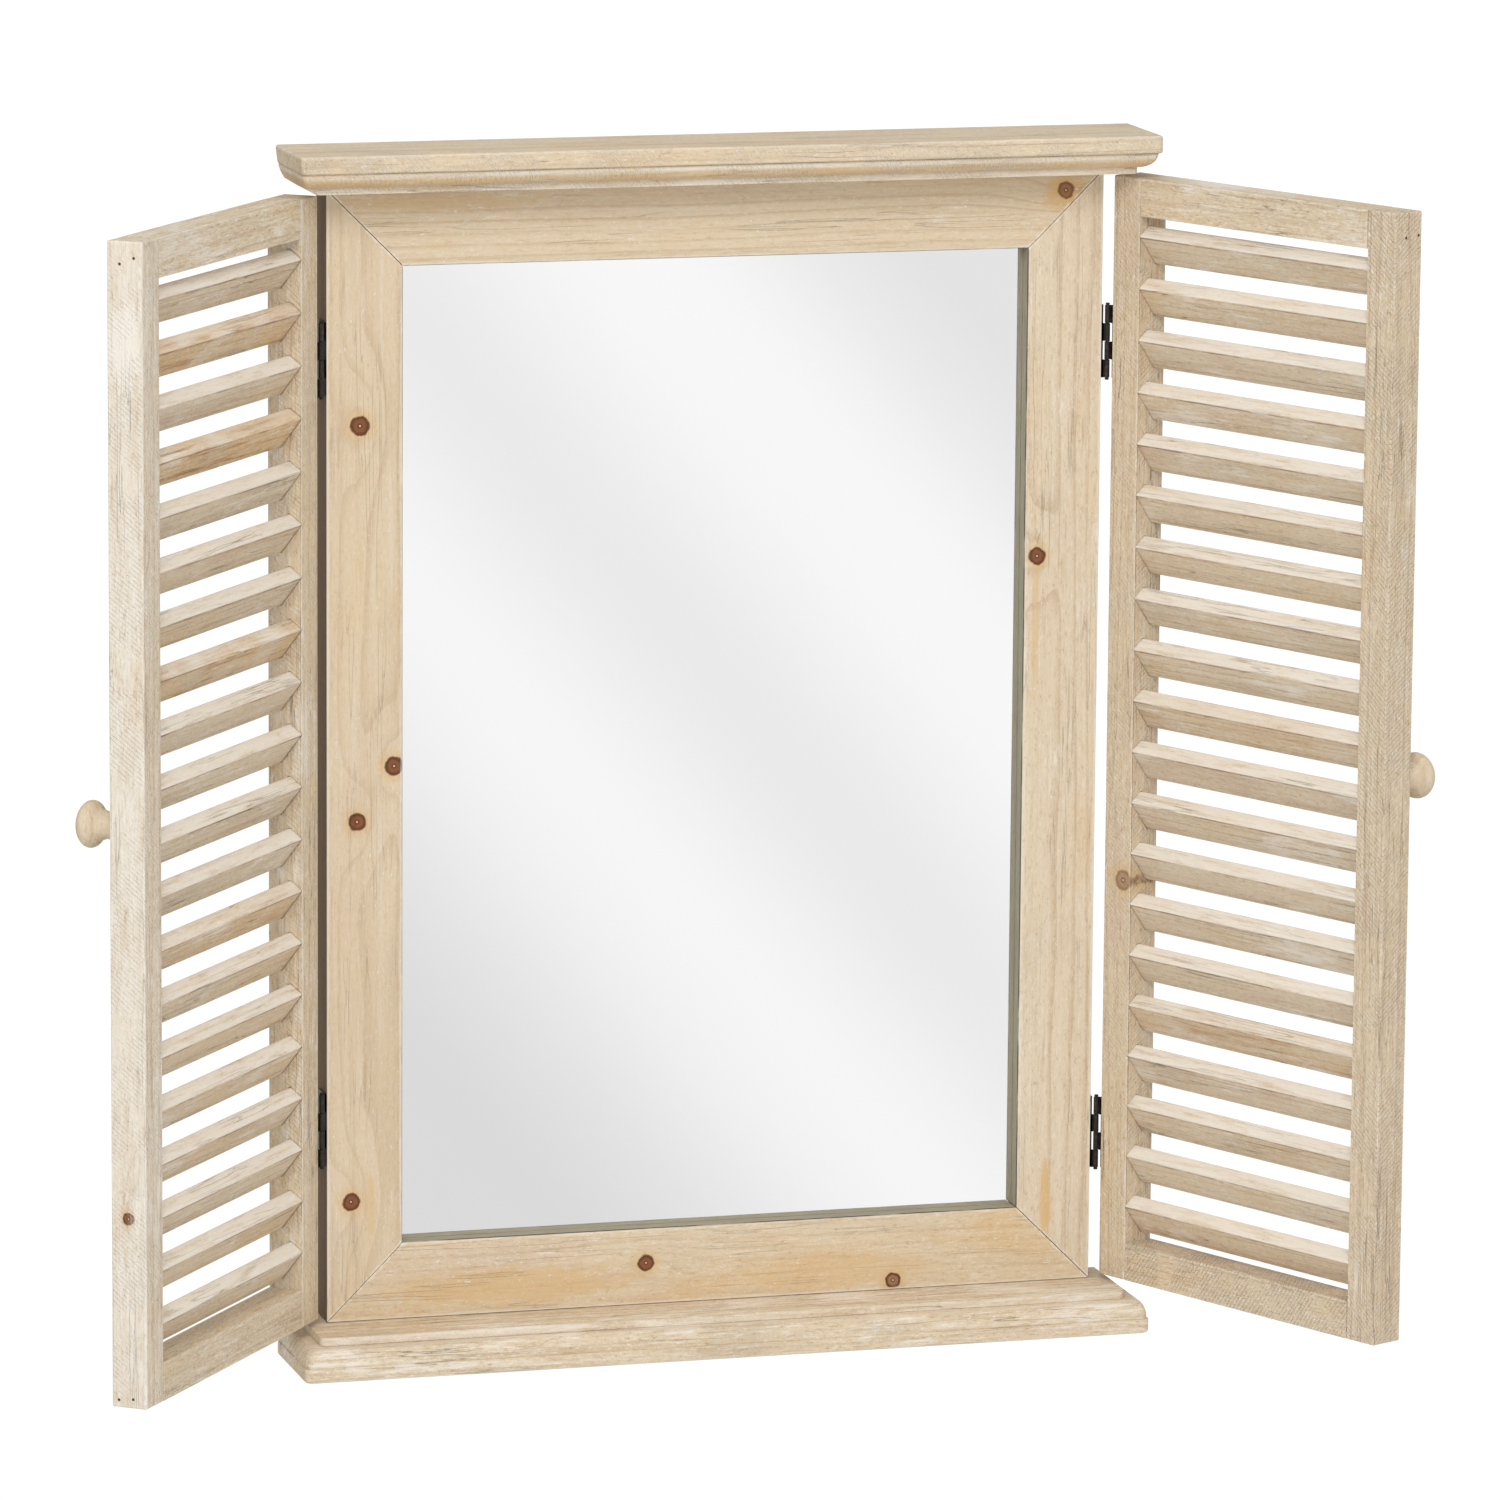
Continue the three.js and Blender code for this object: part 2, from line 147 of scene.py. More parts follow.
# %% Helpers for node trees
class Wiring:
    """Adds nodes to one tree. An input may be a value, a socket, or a node for its first output."""

    spacing = 180    # between two nodes in the node editor

    def __init__(self, tree):
        self.tree = tree
        self.column = 0

    def feed(self, socket, value):
        if isinstance(value, bpy.types.Node):
            value = value.outputs[0]
        if isinstance(value, bpy.types.NodeSocket):
            self.tree.links.new(value, socket)
        else:
            socket.default_value = value

    def node(self, kind, inputs=None, **settings):
        made = self.tree.nodes.new(kind)
        made.location = (self.column * self.spacing, 0)
        self.column += 1
        for key, value in settings.items():
            setattr(made, key, value)
        for key, value in (inputs or {}).items():
            self.feed(made.inputs[key], value)
        return made

    def maths(self, operation, first, second=0.0, clamp=False):
        made = self.node("ShaderNodeMath", {0: first, 1: second}, operation=operation, use_clamp=clamp)
        return made.outputs[0]

    def plus(self, first, second, clamp=False):
        return self.maths("ADD", first, second, clamp)

    def minus(self, first, second, clamp=False):
        return self.maths("SUBTRACT", first, second, clamp)

    def times(self, first, *others):
        for other in others:
            first = self.maths("MULTIPLY", first, other)
        return first

    def vector(self, operation, first, second=(0, 0, 0), scale=1.0):
        made = self.node("ShaderNodeVectorMath", {0: first, 1: second, 3: scale}, operation=operation)
        return made.outputs[1 if operation in ("LENGTH", "DOT_PRODUCT") else 0]

    def noise(self, vector, scale, detail=2.0, roughness=0.5, seed=None, along=1, output="Fac"):
        """Noise over metres. With along under 1 it is drawn out in the direction of the grain."""
        if along != 1:
            vector = self.vector("MULTIPLY", vector, (along, 1, 1))
        inputs = {"Vector": vector, "Scale": scale, "Detail": detail, "Roughness": roughness}
        if seed is not None:
            inputs["W"] = seed
        dimensions = "3D" if seed is None else "4D"
        return self.node("ShaderNodeTexNoise", inputs, noise_dimensions=dimensions).outputs[output]

    def ramp(self, value, zero_at, one_at, kind="SMOOTHSTEP"):
        inputs = {"Value": value, "From Min": zero_at, "From Max": one_at}
        return self.node("ShaderNodeMapRange", inputs, interpolation_type=kind).outputs["Result"]

    def between(self, value, start, full, still_full, end):
        """1 from full to still_full, and 0 before start and after end."""
        return self.times(self.ramp(value, start, full), self.ramp(value, end, still_full))

    def near(self, value, middle, zero_at, one_at):
        """A mask for values close to the middle; the last two are distances from it."""
        return self.ramp(self.maths("ABSOLUTE", self.minus(value, middle)), zero_at, one_at)

    def blend(self, factor, first, second):
        return self.node("ShaderNodeMix", {0: factor, 6: first, 7: second}, data_type="RGBA").outputs[2]

    def tint(self, colour, mask, amount, towards):
        return self.blend(self.times(mask, amount), colour, towards)

    def split(self, vector):
        return self.node("ShaderNodeSeparateXYZ", {0: vector}).outputs

    def join(self, x, y, z):
        return self.node("ShaderNodeCombineXYZ", {0: x, 1: y, 2: z}).outputs[0]

    def own_position(self):
        """Metres in the object's own coordinates."""
        return self.node("ShaderNodeTexCoord").outputs["Object"]

    def group(self, tree, **values):
        inputs = {key.replace("_", " "): value for key, value in values.items()}
        return self.node("ShaderNodeGroup", inputs, node_tree=tree).outputs

    def surface(self, colour, rough, height, strength, relief, **more):
        """The shader of a material. Height times relief, in metres, is how deep the bumps are."""
        bump = self.node("ShaderNodeBump", {"Strength": strength, "Distance": relief, "Height": height})
        inputs = {"Base Color": colour, "Roughness": rough, "Normal": bump}
        for key, value in more.items():
            inputs[key.replace("_", " ")] = value
        self.node("ShaderNodeOutputMaterial", {"Surface": self.node("ShaderNodeBsdfPrincipled", inputs)})


socket_kinds = {float: "Float", int: "Int", tuple: "Vector", type(None): "Material"}


def new_group(name, inputs, outputs, tree_kind="Shader", output_kind="Float"):
    """An empty node group, as the wiring for it and the sockets that it is given.

    The type of an input's default says what kind of socket it needs: None is for a material.
    """
    tree = bpy.data.node_groups.new(name, tree_kind + "NodeTree")
    for socket_name, value in inputs.items():
        kind = "NodeSocket" + socket_kinds[type(value)]
        socket = tree.interface.new_socket(socket_name, in_out="INPUT", socket_type=kind)
        if value is not None:
            socket.default_value = value
    for socket_name in outputs:
        tree.interface.new_socket(socket_name, in_out="OUTPUT", socket_type="NodeSocket" + output_kind)
    w = Wiring(tree)
    return w, w.node("NodeGroupInput").outputs


print("helpers ready")

# %% Growth rings, fibres and mottle
origin = (0, 0, 0)


def make_grain_group():
    w, given = new_group(
        "pine_grain",
        {"Vector": origin, "Seed": 0.0, "Ring spacing": 5.5 * mm, "Warp": 3 * mm, "Swell": 0.0},
        ("Rings", "Streaks", "Fibre", "Mottle", "Blush", "Speckle", "Hairlines"))
    place, seed = given["Vector"], given["Seed"]
    warp = w.noise(place, 28, 2, 0.5, seed, 0.12, "Color")
    centred = w.vector("SUBTRACT", warp, (0.5, 0.5, 0.5))
    bent = w.vector("ADD", w.vector("MULTIPLY", place, (0, 1, 1)),
                    w.vector("SCALE", centred, scale=w.times(given["Warp"], 5)))
    radius = w.plus(w.vector("LENGTH", bent), given["Swell"])
    turns = w.maths("DIVIDE", radius, given["Ring spacing"])
    line = w.between(w.maths("FRACT", turns), 0.62, 0.95, 0.95, 1.0)
    strength = w.noise(w.join(turns, 0, 0), 0.37, 1, 0.5, seed)

    def drawn_out(along, scale, detail, roughness, shift):
        return w.noise(place, scale, detail, roughness, w.plus(seed, shift), along)

    here_and_there = w.ramp(drawn_out(0.12, 90, 2, 0.5, 7.0), 0.5, 0.6)
    w.node("NodeGroupOutput", {
        "Rings": w.times(line, w.ramp(strength, 0.35, 0.65)),
        "Streaks": drawn_out(0.035, 230, 3, 0.6, 1.0),
        "Fibre": drawn_out(0.05, 850, 3, 0.8, 2.0),
        "Mottle": drawn_out(0.25, 30, 3, 0.55, 3.0),
        "Blush": drawn_out(0.3, 48, 3, 0.6, 4.0),
        "Speckle": drawn_out(0.35, 680, 3, 0.85, 5.0),
        "Hairlines": w.times(w.near(drawn_out(0.03, 260, 2, 0.5, 6.0), 0.5, 0.008, 0.002), here_and_there),
    })
    return w.tree


pine_grain = make_grain_group()
print("group", pine_grain.name, "has", len(pine_grain.nodes), "nodes")

# %% [markdown]
# The lime wash is a thin white paint that was brushed on and rubbed off again. It stays in
# patches, in the open pores and along scratches, so its mask is a broad patch plus fine strokes.
# Saw marks are shallow scores left by the mill across the board, faint and slightly slanted.

# %% Lime wash and saw marks
def make_lime_group():
    w, given = new_group("lime_wash", {"Vector": origin, "Seed": 0.0, "Amount": 0.5}, ("Mask", "Flecks"))
    place, seed = given["Vector"], given["Seed"]
    patches = w.noise(place, 45, 4, 0.6, w.plus(seed, 11.0), 0.4)
    strokes = w.noise(place, 500, 4, 0.85, w.plus(seed, 13.0), 0.1)
    specks = w.noise(place, 620, 3, 0.8, w.plus(seed, 17.0), 0.4)
    both = w.plus(w.times(patches, 0.6), w.times(strokes, 0.6))
    threshold = w.minus(0.86, w.times(given["Amount"], 0.4))
    w.node("NodeGroupOutput", {
        "Mask": w.ramp(both, threshold, w.plus(threshold, 0.12)),
        "Flecks": w.times(w.ramp(specks, 0.57, 0.7), w.ramp(patches, 0.38, 0.6)),
    })
    return w.tree


def make_saw_group():
    w, given = new_group(
        "saw_marks", {"Vector": origin, "Seed": 0.0, "Pitch": 2.6 * mm, "Slant": 0.75}, ["Scores"])
    place = given["Vector"]
    x, y, z = w.split(place)
    slanted = w.plus(x, w.times(w.plus(z, y), given["Slant"]))
    bow = w.noise(place, 25, 1)
    run = w.plus(w.maths("DIVIDE", slanted, given["Pitch"]), w.times(bow, 2))
    wave = w.maths("SINE", w.times(run, 2 * math.pi))
    here = w.ramp(w.noise(place, 30, 2, 0.6, given["Seed"]), 0.36, 0.52)
    broken = w.ramp(w.noise(place, 320, 3, 0.7), 0.38, 0.6)
    w.node("NodeGroupOutput", {"Scores": w.times(w.ramp(wave, 0.0, 0.9), here, broken)})
    return w.tree


lime_wash = make_lime_group()
saw_marks = make_saw_group()
print("groups:", lime_wash.name, saw_marks.name)

# %% [markdown]
# Handling rubs a board's arrises pale, and that pale band is also a painted highlight along
# each arris; a thin darker line runs just inside them. For a straight board the distance to the
# nearest arris follows from its size alone: of the three distances to its faces, the smallest is
# zero on a face and the middle one is the answer.
# A knot is the stump of a branch: a brown disc with a darker bark rim and a small pale
# pith, round which the growth rings swell.

# %% Worn edges and knots
def make_edge_group():
    w, given = new_group(
        "worn_and_highlit_edges", {"Vector": origin, "Half size": origin, "Width": 1.6 * mm}, ("Rubbed and highlight", "Edge line"))
    place, width = given["Vector"], given["Width"]
    x, y, z = w.split(w.vector("SUBTRACT", given["Half size"], w.vector("ABSOLUTE", place)))
    smaller = w.maths("MINIMUM", x, y)
    larger = w.maths("MAXIMUM", x, y)
    to_edge = w.maths("MAXIMUM", smaller, w.maths("MINIMUM", larger, z))
    ragged = w.noise(place, 160, 4, 0.65, along=0.4)
    reach = w.times(width, w.times(ragged, 2.0))
    line = w.near(to_edge, w.times(width, 1.6), w.times(width, 0.5), 0.0)
    w.node("NodeGroupOutput", {
        "Rubbed and highlight": w.ramp(to_edge, reach, w.times(reach, 0.4)),
        "Edge line": w.times(line, w.ramp(ragged, 0.45, 0.65)),
    })
    return w.tree


def make_knot_group():
    w, given = new_group(
        "knot", {"Vector": origin, "Centre": origin, "Radius": 4 * mm, "Through": (1, 0, 1)},
        ("Core", "Rim", "Halo", "Pith", "Eye", "Swell"))
    radius = given["Radius"]
    offset = w.vector("MULTIPLY", w.vector("SUBTRACT", given["Vector"], given["Centre"]), given["Through"])
    even = w.maths("DIVIDE", w.vector("LENGTH", offset), radius)
    wobble = w.times(w.minus(w.noise(given["Vector"], 300, 2), 0.5), 0.5)
    ragged = w.plus(even, wobble)
    # The rings bend further out along the grain, and less and less with the distance.
    far = w.maths("DIVIDE", w.vector("LENGTH", w.vector("MULTIPLY", offset, (0.42, 1, 1))), radius)
    fall = w.maths("POWER", 2.718, w.times(far, far, -0.16))
    w.node("NodeGroupOutput", {
        "Core": w.ramp(ragged, 1.12, 0.9),
        "Rim": w.between(ragged, 0.55, 0.95, 1.0, 1.2),
        "Halo": w.ramp(ragged, 2.5, 0.9),
        "Pith": w.ramp(even, 0.13, 0.07),
        "Eye": w.ramp(even, 0.45, 0.12),
        "Swell": w.times(fall, radius, 2.2),
    })
    return w.tree


worn_and_highlit_edges = make_edge_group()
knot_group = make_knot_group()
print("groups:", worn_and_highlit_edges.name, knot_group.name)

# %% [markdown]
# ## The pine material
# Every board is cut from its own place in the log, so each gets its own material from one
# function: where its middle is, which way its grain runs, how far it lies from the pith, and
# which knots it has. The colours are those of raw pine under the thin wash.

# %% Colours of pine
earlywood = (0.72, 0.592, 0.418, 1)
latewood = (0.43, 0.285, 0.155, 1)
honey = (0.70, 0.47, 0.22, 1)
rosy = (0.66, 0.485, 0.345, 1)
dusty = (0.50, 0.415, 0.315, 1)
lime_white = (0.88, 0.825, 0.735, 1)
knot_brown = (0.25, 0.098, 0.042, 1)
bark_brown = (0.085, 0.034, 0.018, 1)
pith_white = (0.80, 0.68, 0.55, 1)
resin_brown = (0.46, 0.225, 0.09, 1)
# The next three colours are painted shade: on the frame's sight wall, in a thin shadow line along it, and on
# the frame's outer sides.
wall_painted_shade = (0.30, 0.285, 0.21, 1)
sight_painted_shadow_line = (0.075, 0.065, 0.04, 1)
side_painted_shadow = (0.15, 0.095, 0.05, 1)

# The layers of colour in the order they are laid: a mask of pine_grain, where it begins and
# where it is full, the entry of the look that says how strong it is, and its colour.
layers = [
    ("Mottle", (0.5, 0.72), "honey", honey),
    ("Mottle", (0.48, 0.28), "rosy", rosy),
    ("Blush", (0.5, 0.75), "dust", dusty),
    ("Streaks", (0.52, 0.74), "streaks", latewood),
    ("Streaks", (0.46, 0.28), "streaks", lime_white),
    ("Rings", None, "rings", latewood),
    ("Fibre", (0.54, 0.74), "fibre", latewood),
    ("Fibre", (0.46, 0.28), "fibre", lime_white),
    ("Speckle", (0.53, 0.7), "speckle", latewood),
    ("Speckle", (0.46, 0.3), "speckle", lime_white),
    ("Hairlines", None, "hairlines", bark_brown),
]
# In these looks, rubbed is how strongly the arrises are painted pale, as wear and as a painted highlight.
usual_look = {
    "ring_spacing": 5.5 * mm, "warp": 3 * mm, "rings": 0.35, "streaks": 0.2, "fibre": 0.3,
    "speckle": 0.35, "honey": 0.4, "rosy": 0.35, "dust": 0.25, "lime": 0.5, "flecks": 0.9,
    "saw": 0.0, "edge": 1.6 * mm, "hairlines": 0.0, "pale": 0.0, "rubbed": 0.45, "relief": 0.4 * mm,
}
usual_knot = {"through": (1, 0, 1), "Core": 1.0, "Rim": 0.75, "Halo": 1.0, "Pith": 1.0, "Eye": 1.0}

# Turns that lay a board's local X along its grain.
ALONG_X = 0.0
UPRIGHT = -math.pi / 2


# %% How one piece of pine is coloured
def in_mm(values):
    return tuple(value * mm for value in values)


def stain_mask(w, local, place, reach):
    """A patch with a ragged rim: 1 in its middle, 0 beyond the reach in mm for each direction."""
    stretch = tuple(1 / length for length in in_mm(reach))
    from_middle = w.vector("SUBTRACT", local, in_mm(place))
    distance = w.vector("LENGTH", w.vector("MULTIPLY", from_middle, stretch))
    ragged = w.minus(w.noise(local, 260, 4, 0.7, along=0.3), 0.5)
    return w.ramp(w.plus(distance, w.times(ragged, 1.6)), 1.1, 0.5)


def pine_colour(w, local, timber, seed, look, knots=(), tone=0.0, stains=()):
    """Wires up limed pine, and returns its colour, height and roughness."""
    swell = 0.0
    knotty = {"Core": 0.0, "Rim": 0.0, "Halo": 0.0, "Pith": 0.0, "Eye": 0.0}
    for knot in knots:
        found = w.group(knot_group, Vector=local, Centre=knot["centre"], Radius=knot["radius"],
                        Through=knot["through"])
        swell = w.plus(swell, found["Swell"])
        for mask in knotty:
            knotty[mask] = w.maths("MAXIMUM", knotty[mask], w.times(found[mask], knot[mask]))

    grain = w.group(pine_grain, Vector=timber, Seed=seed, Ring_spacing=look["ring_spacing"],
                    Warp=look["warp"], Swell=swell)
    lime = w.group(lime_wash, Vector=local, Seed=seed, Amount=look["lime"])

    colour = w.blend(tone, earlywood, honey)
    colour = w.blend(look["pale"], colour, lime_white)
    for name, span, strength, towards in layers:
        mask = w.ramp(grain[name], *span) if span else grain[name]
        colour = w.tint(colour, mask, look[strength], towards)
    washed = lime["Mask"]
    flecks = w.times(lime["Flecks"], look["flecks"])
    if knots:
        bare = w.minus(1.0, knotty["Core"], clamp=True)
        washed = w.times(washed, bare)
        flecks = w.times(flecks, bare)
        colour = w.tint(colour, knotty["Halo"], 0.6, honey)
    colour = w.tint(colour, washed, 0.75, lime_white)
    for place, reach, amount, towards in stains:
        colour = w.tint(colour, stain_mask(w, local, place, reach), amount, towards)
    colour = w.blend(flecks, colour, lime_white)
    if knots:
        colour = w.blend(knotty["Core"], colour, knot_brown)
        colour = w.blend(knotty["Rim"], colour, bark_brown)
        colour = w.tint(colour, knotty["Eye"], 0.65, bark_brown)
        colour = w.blend(knotty["Pith"], colour, pith_white)

    height = w.minus(w.times(grain["Fibre"], 0.7), grain["Hairlines"])
    height = w.minus(height, w.times(grain["Rings"], 0.3))
    height = w.plus(height, w.times(grain["Speckle"], 0.5))
    height = w.plus(height, w.times(lime["Flecks"], 0.4))
    return colour, height, w.plus(0.6, w.times(grain["Fibre"], 0.22))


# %% One pine material
def new_material(name):
    material = bpy.data.materials.new(name)
    material.use_nodes = True
    material.node_tree.nodes.clear()
    return material, Wiring(material.node_tree)


def finish_pine(w, colour, height, rough, relief):
    w.surface(colour, rough, height, 0.8, relief, Specular_IOR_Level=0.15)


def lay_pattern(w, centre, grain, heading):
    """Object coordinates moved to a board's middle and turned so that X runs with its grain."""
    inputs = {"Vector": w.own_position(), "Location": tuple(centre), "Rotation": (0, grain, heading)}
    return w.node("ShaderNodeMapping", inputs, vector_type="TEXTURE").outputs["Vector"]


def frame_marks(w, local, half_size, sight_side, colour):
    """What only the frame's members have: filled mitres, painted shade on the sight wall with a painted
    shadow line along it, and painted shadow on the outer sides.
    """
    x, y, z = w.split(local)
    half_length, half_depth, half_width = half_size
    behind_face = w.plus(y, half_depth)
    across = w.times(z, sight_side)
    to_sight = w.minus(half_width, across)
    to_outside = w.plus(half_width, across)
    to_mitre = w.minus(w.minus(half_length, w.maths("ABSOLUTE", x)), to_outside)

    ragged = w.noise(local, 300, 4, 0.7)
    filled = w.ramp(to_mitre, w.times(ragged, 4 * mm), 0.6 * mm)
    colour = w.tint(colour, w.times(filled, w.ramp(ragged, 0.42, 0.56)), 0.6, lime_white)

    # A noise that makes the painted shade on the sight wall patchy.
    shade_patchiness = w.noise(local, 260, 3, 0.6, along=0.2)
    # Painted shade on the sight wall, the member's side that faces into the opening.
    wall = w.times(w.ramp(to_sight, 0.6 * mm, 0.2 * mm), w.ramp(behind_face, 0.9 * mm, 1.4 * mm))
    colour = w.tint(colour, wall, w.plus(0.6, w.times(shade_patchiness, 0.5)), wall_painted_shade)
    # A thin painted shadow line along the sight wall, just behind the front arris.
    line = w.times(w.ramp(to_sight, 0.4 * mm, 0.1 * mm),
                   w.between(behind_face, 0.7 * mm, 1.0 * mm, 1.8 * mm, 2.2 * mm))
    colour = w.tint(colour, line, w.ramp(shade_patchiness, 0.3, 0.5), sight_painted_shadow_line)
    # Painted shadow over the outer side faces of the member, behind its front arris.
    side = w.times(w.ramp(to_outside, 0.3 * mm, 0.1 * mm), w.ramp(behind_face, 0.3 * mm, 1.0 * mm))
    return w.tint(colour, side, 0.92, side_painted_shadow)


band_blur = 0.5 * mm
nail_radius = 1 * mm
log_step = 0.7                             # metres from one board to the next in the log


def limed_pine(name, centre, half_size, grain=ALONG_X, heading=0.0, seed=0.0, pith=(0.012, 0.055),
               knots=(), sight_side=0, nails=(), bands=(), stains=(), **changes):
    """The material of one board. Pith is how far its middle lies from the log's, in metres."""
    look = {**usual_look, **changes}
    material, w = new_material(name)
    local = lay_pattern(w, centre, grain, heading)
    timber = w.vector("ADD", local, (seed * log_step, *pith))
    colour, height, rough = pine_colour(w, local, timber, seed, look, knots, stains=stains)

    if look["saw"] > 0:
        scores = w.group(saw_marks, Vector=local, Seed=seed)["Scores"]
        height = w.minus(height, w.times(scores, look["saw"]))
        colour = w.tint(colour, scores, 0.35 * look["saw"], lime_white)
    edges = w.group(worn_and_highlit_edges, Vector=local, Half_size=tuple(half_size), Width=look["edge"])
    # A thin darker line inside each arris, then the arrises painted pale: rubbed wear and a painted highlight
    # together.
    colour = w.tint(colour, edges["Edge line"], 0.3, latewood)
    colour = w.tint(colour, edges["Rubbed and highlight"], look["rubbed"], lime_white)
    for low, high, amount, towards in bands:
        low, high = in_mm((low, high))
        inside = w.between(w.split(local)[2], low - band_blur, low + band_blur,
                           high - band_blur, high + band_blur)
        uneven = w.ramp(w.noise(local, 150, 3, 0.7, along=0.15), 0.3, 0.62)
        colour = w.tint(colour, w.times(inside, uneven), amount, towards)
    for nail in nails:
        gap = w.vector("LENGTH", w.vector("SUBTRACT", local, nail))
        colour = w.blend(w.ramp(gap, nail_radius, nail_radius / 2), colour, bark_brown)
    if sight_side:
        colour = frame_marks(w, local, half_size, sight_side, colour)
    finish_pine(w, colour, height, rough, look["relief"])
    return material


print("pine colours ready")

# %% [markdown]
# ## Boards
# A board's arrises are never knife-sharp: sanding and handling round them by up to a
# millimetre, and that thin highlight is what makes it look like wood. The CAD mesh is loose
# triangles, so a copy is merged back into flat faces before the Bevel modifier rounds its edges.

# %% Helpers for meshes
arris_angle = math.radians(30)
weld_distance = 0.001 * mm


def link(obj):
    bpy.context.scene.collection.objects.link(obj)
    return obj


def object_from_bmesh(name, bm):
    bmesh.ops.recalc_face_normals(bm, faces=bm.faces)
    mesh = bpy.data.meshes.new(name)
    bm.to_mesh(mesh)
    bm.free()
    return link(bpy.data.objects.new(name, mesh))


def merged_copy(node, name):
    bm = bmesh.new()
    bm.from_mesh(nodes[node].data)
    bmesh.ops.remove_doubles(bm, verts=bm.verts, dist=0.01 * mm)
    bmesh.ops.dissolve_limit(bm, angle_limit=math.radians(0.5), verts=bm.verts, edges=bm.edges)
    return object_from_bmesh(name, bm)


def add_box(bm, corner, opposite):
    made = bmesh.ops.create_cube(bm, size=1)["verts"]
    corner, opposite = Vector(corner), Vector(opposite)
    size = Vector([abs(length) for length in opposite - corner])
    for vert in made:
        vert.co = (corner + opposite) / 2 + vert.co * size


def box_object(name, corner, opposite):
    bm = bmesh.new()
    add_box(bm, corner, opposite)
    return object_from_bmesh(name, bm)


def lathe(bm, profile, steps):
    """Spins a profile of (radius, height) about Z."""
    verts = [bm.verts.new((radius, 0, z)) for radius, z in profile]
    edges = [bm.edges.new(pair) for pair in zip(verts, verts[1:])]
    bmesh.ops.spin(bm, geom=verts + edges, cent=(0, 0, 0), axis=(0, 0, 1), angle=2 * math.pi, steps=steps)
    bmesh.ops.remove_doubles(bm, verts=bm.verts, dist=weld_distance)


def soften(obj, width, segments):
    bevel = obj.modifiers.new("arris", "BEVEL")
    bevel.width = width
    bevel.segments = segments
    bevel.limit_method = "ANGLE"
    bevel.angle_limit = arris_angle
    return obj


def settle(obj, sharp_angle=40):
    """Turns an object with its modifiers into a plain mesh, smooth but for its sharp edges."""
    depsgraph = bpy.context.evaluated_depsgraph_get()
    mesh = bpy.data.meshes.new_from_object(obj.evaluated_get(depsgraph))
    obj.modifiers.clear()
    old = obj.data
    obj.data = mesh
    bpy.data.meshes.remove(old)
    mesh.name = obj.name
    mesh.shade_smooth()
    mesh.set_sharp_from_angle(angle=math.radians(sharp_angle))
    normals = obj.modifiers.new("flat_faces", "WEIGHTED_NORMAL")
    normals.keep_sharp = True
    normals.weight = 100
    return obj


def place_mesh(obj, matrix):
    obj.data.transform(matrix)
    obj.data.update()
    return obj


def dress(obj, material):
    obj.data.materials.clear()
    obj.data.materials.append(material)


def hand_over(piece, body, replaced):
    """Ties a finished piece to its body, in place of the solids named."""
    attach(piece, body)
    if replaced:
        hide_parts(*replaced)
    print(piece.name, len(piece.data.polygons), "faces")


print("mesh helpers ready")

# %% [markdown]
# ## The frame, the cornice and the sill
# Four members of plain section meet in mitres. Each is a copy of its solid with softened
# arrises. Knots and stains are placed in mm from a member's middle, along it and across it.

# %% Frame members
frame_arris = 0.3 * mm


def frame_board(node, grain, **look):
    low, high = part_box(node)
    half = (high - low) / 2
    if grain == UPRIGHT:
        half = Vector((half.z, half.y, half.x))
    piece = settle(soften(merged_copy(node, node + "_board"), frame_arris, 3))
    dress(piece, limed_pine(node + "_pine", (low + high) / 2, half, grain, **look))
    hand_over(piece, "frame", [node])


def knot(along, across, radius, **changes):
    return {**usual_knot, "centre": in_mm((along, 0, across)), "radius": radius * mm, **changes}


def face_stain(along, across, reach_along, reach_across, amount, towards=honey):
    """A stained patch on the face of a board; its depth is more than any board's."""
    return ((along, 0, across), (reach_along, 100, reach_across), amount, towards)


frame_board("frame_top_member", ALONG_X, seed=1.0, pith=(0.02, 0.075), sight_side=-1, lime=0.45,
            hairlines=0.15, flecks=1.0, knots=[knot(185.6, 9.7, 4.2, Core=0.8, Rim=0.5)],
            stains=[face_stain(186, 8, 15, 11, 0.8), face_stain(-150, 12, 60, 5, 0.4)])
frame_board("frame_bottom_member", ALONG_X, seed=2.0, pith=(0.03, -0.03), sight_side=1, lime=0.35,
            honey=0.6, speckle=0.5, flecks=1.0,
            knots=[knot(-35.8, 1.8, 4.0), knot(98.5, -15.2, 3.8, Core=0.8, Rim=0.9)],
            stains=[face_stain(-110, -6, 75, 12, 0.6), face_stain(70, -8, 60, 10, 0.4)])
frame_board("frame_left_member", UPRIGHT, seed=3.0, pith=(0.035, 0.01), sight_side=-1, lime=0.4,
            honey=0.3, stains=[face_stain(-235, -3, 20, 3, 0.5)],
            knots=[knot(172.9, 2.6, 4.7), knot(-3.4, -15.3, 4.6), knot(-31.7, 4.2, 4.3),
                   knot(-230.8, 7.4, 4.2)])
frame_board("frame_right_member", UPRIGHT, seed=4.0, pith=(0.03, -0.012), sight_side=1, honey=0.5,
            hairlines=0.15, flecks=1.0, speckle=0.5, pale=0.15, knots=[knot(92.9, 13.5, 4.2)],
            stains=[face_stain(-250, 4.4, 26, 4, 0.8), face_stain(60, 14, 50, 2.5, 0.5)])
print("frame members dressed")

# %% [markdown]
# The cornice and the sill are boards with a moulding run along the front and both ends, worn
# round at every corner. One outline of the moulding is carried round a plan with rounded
# corners: each point of the outline makes one ring, and neighbouring rings are joined.

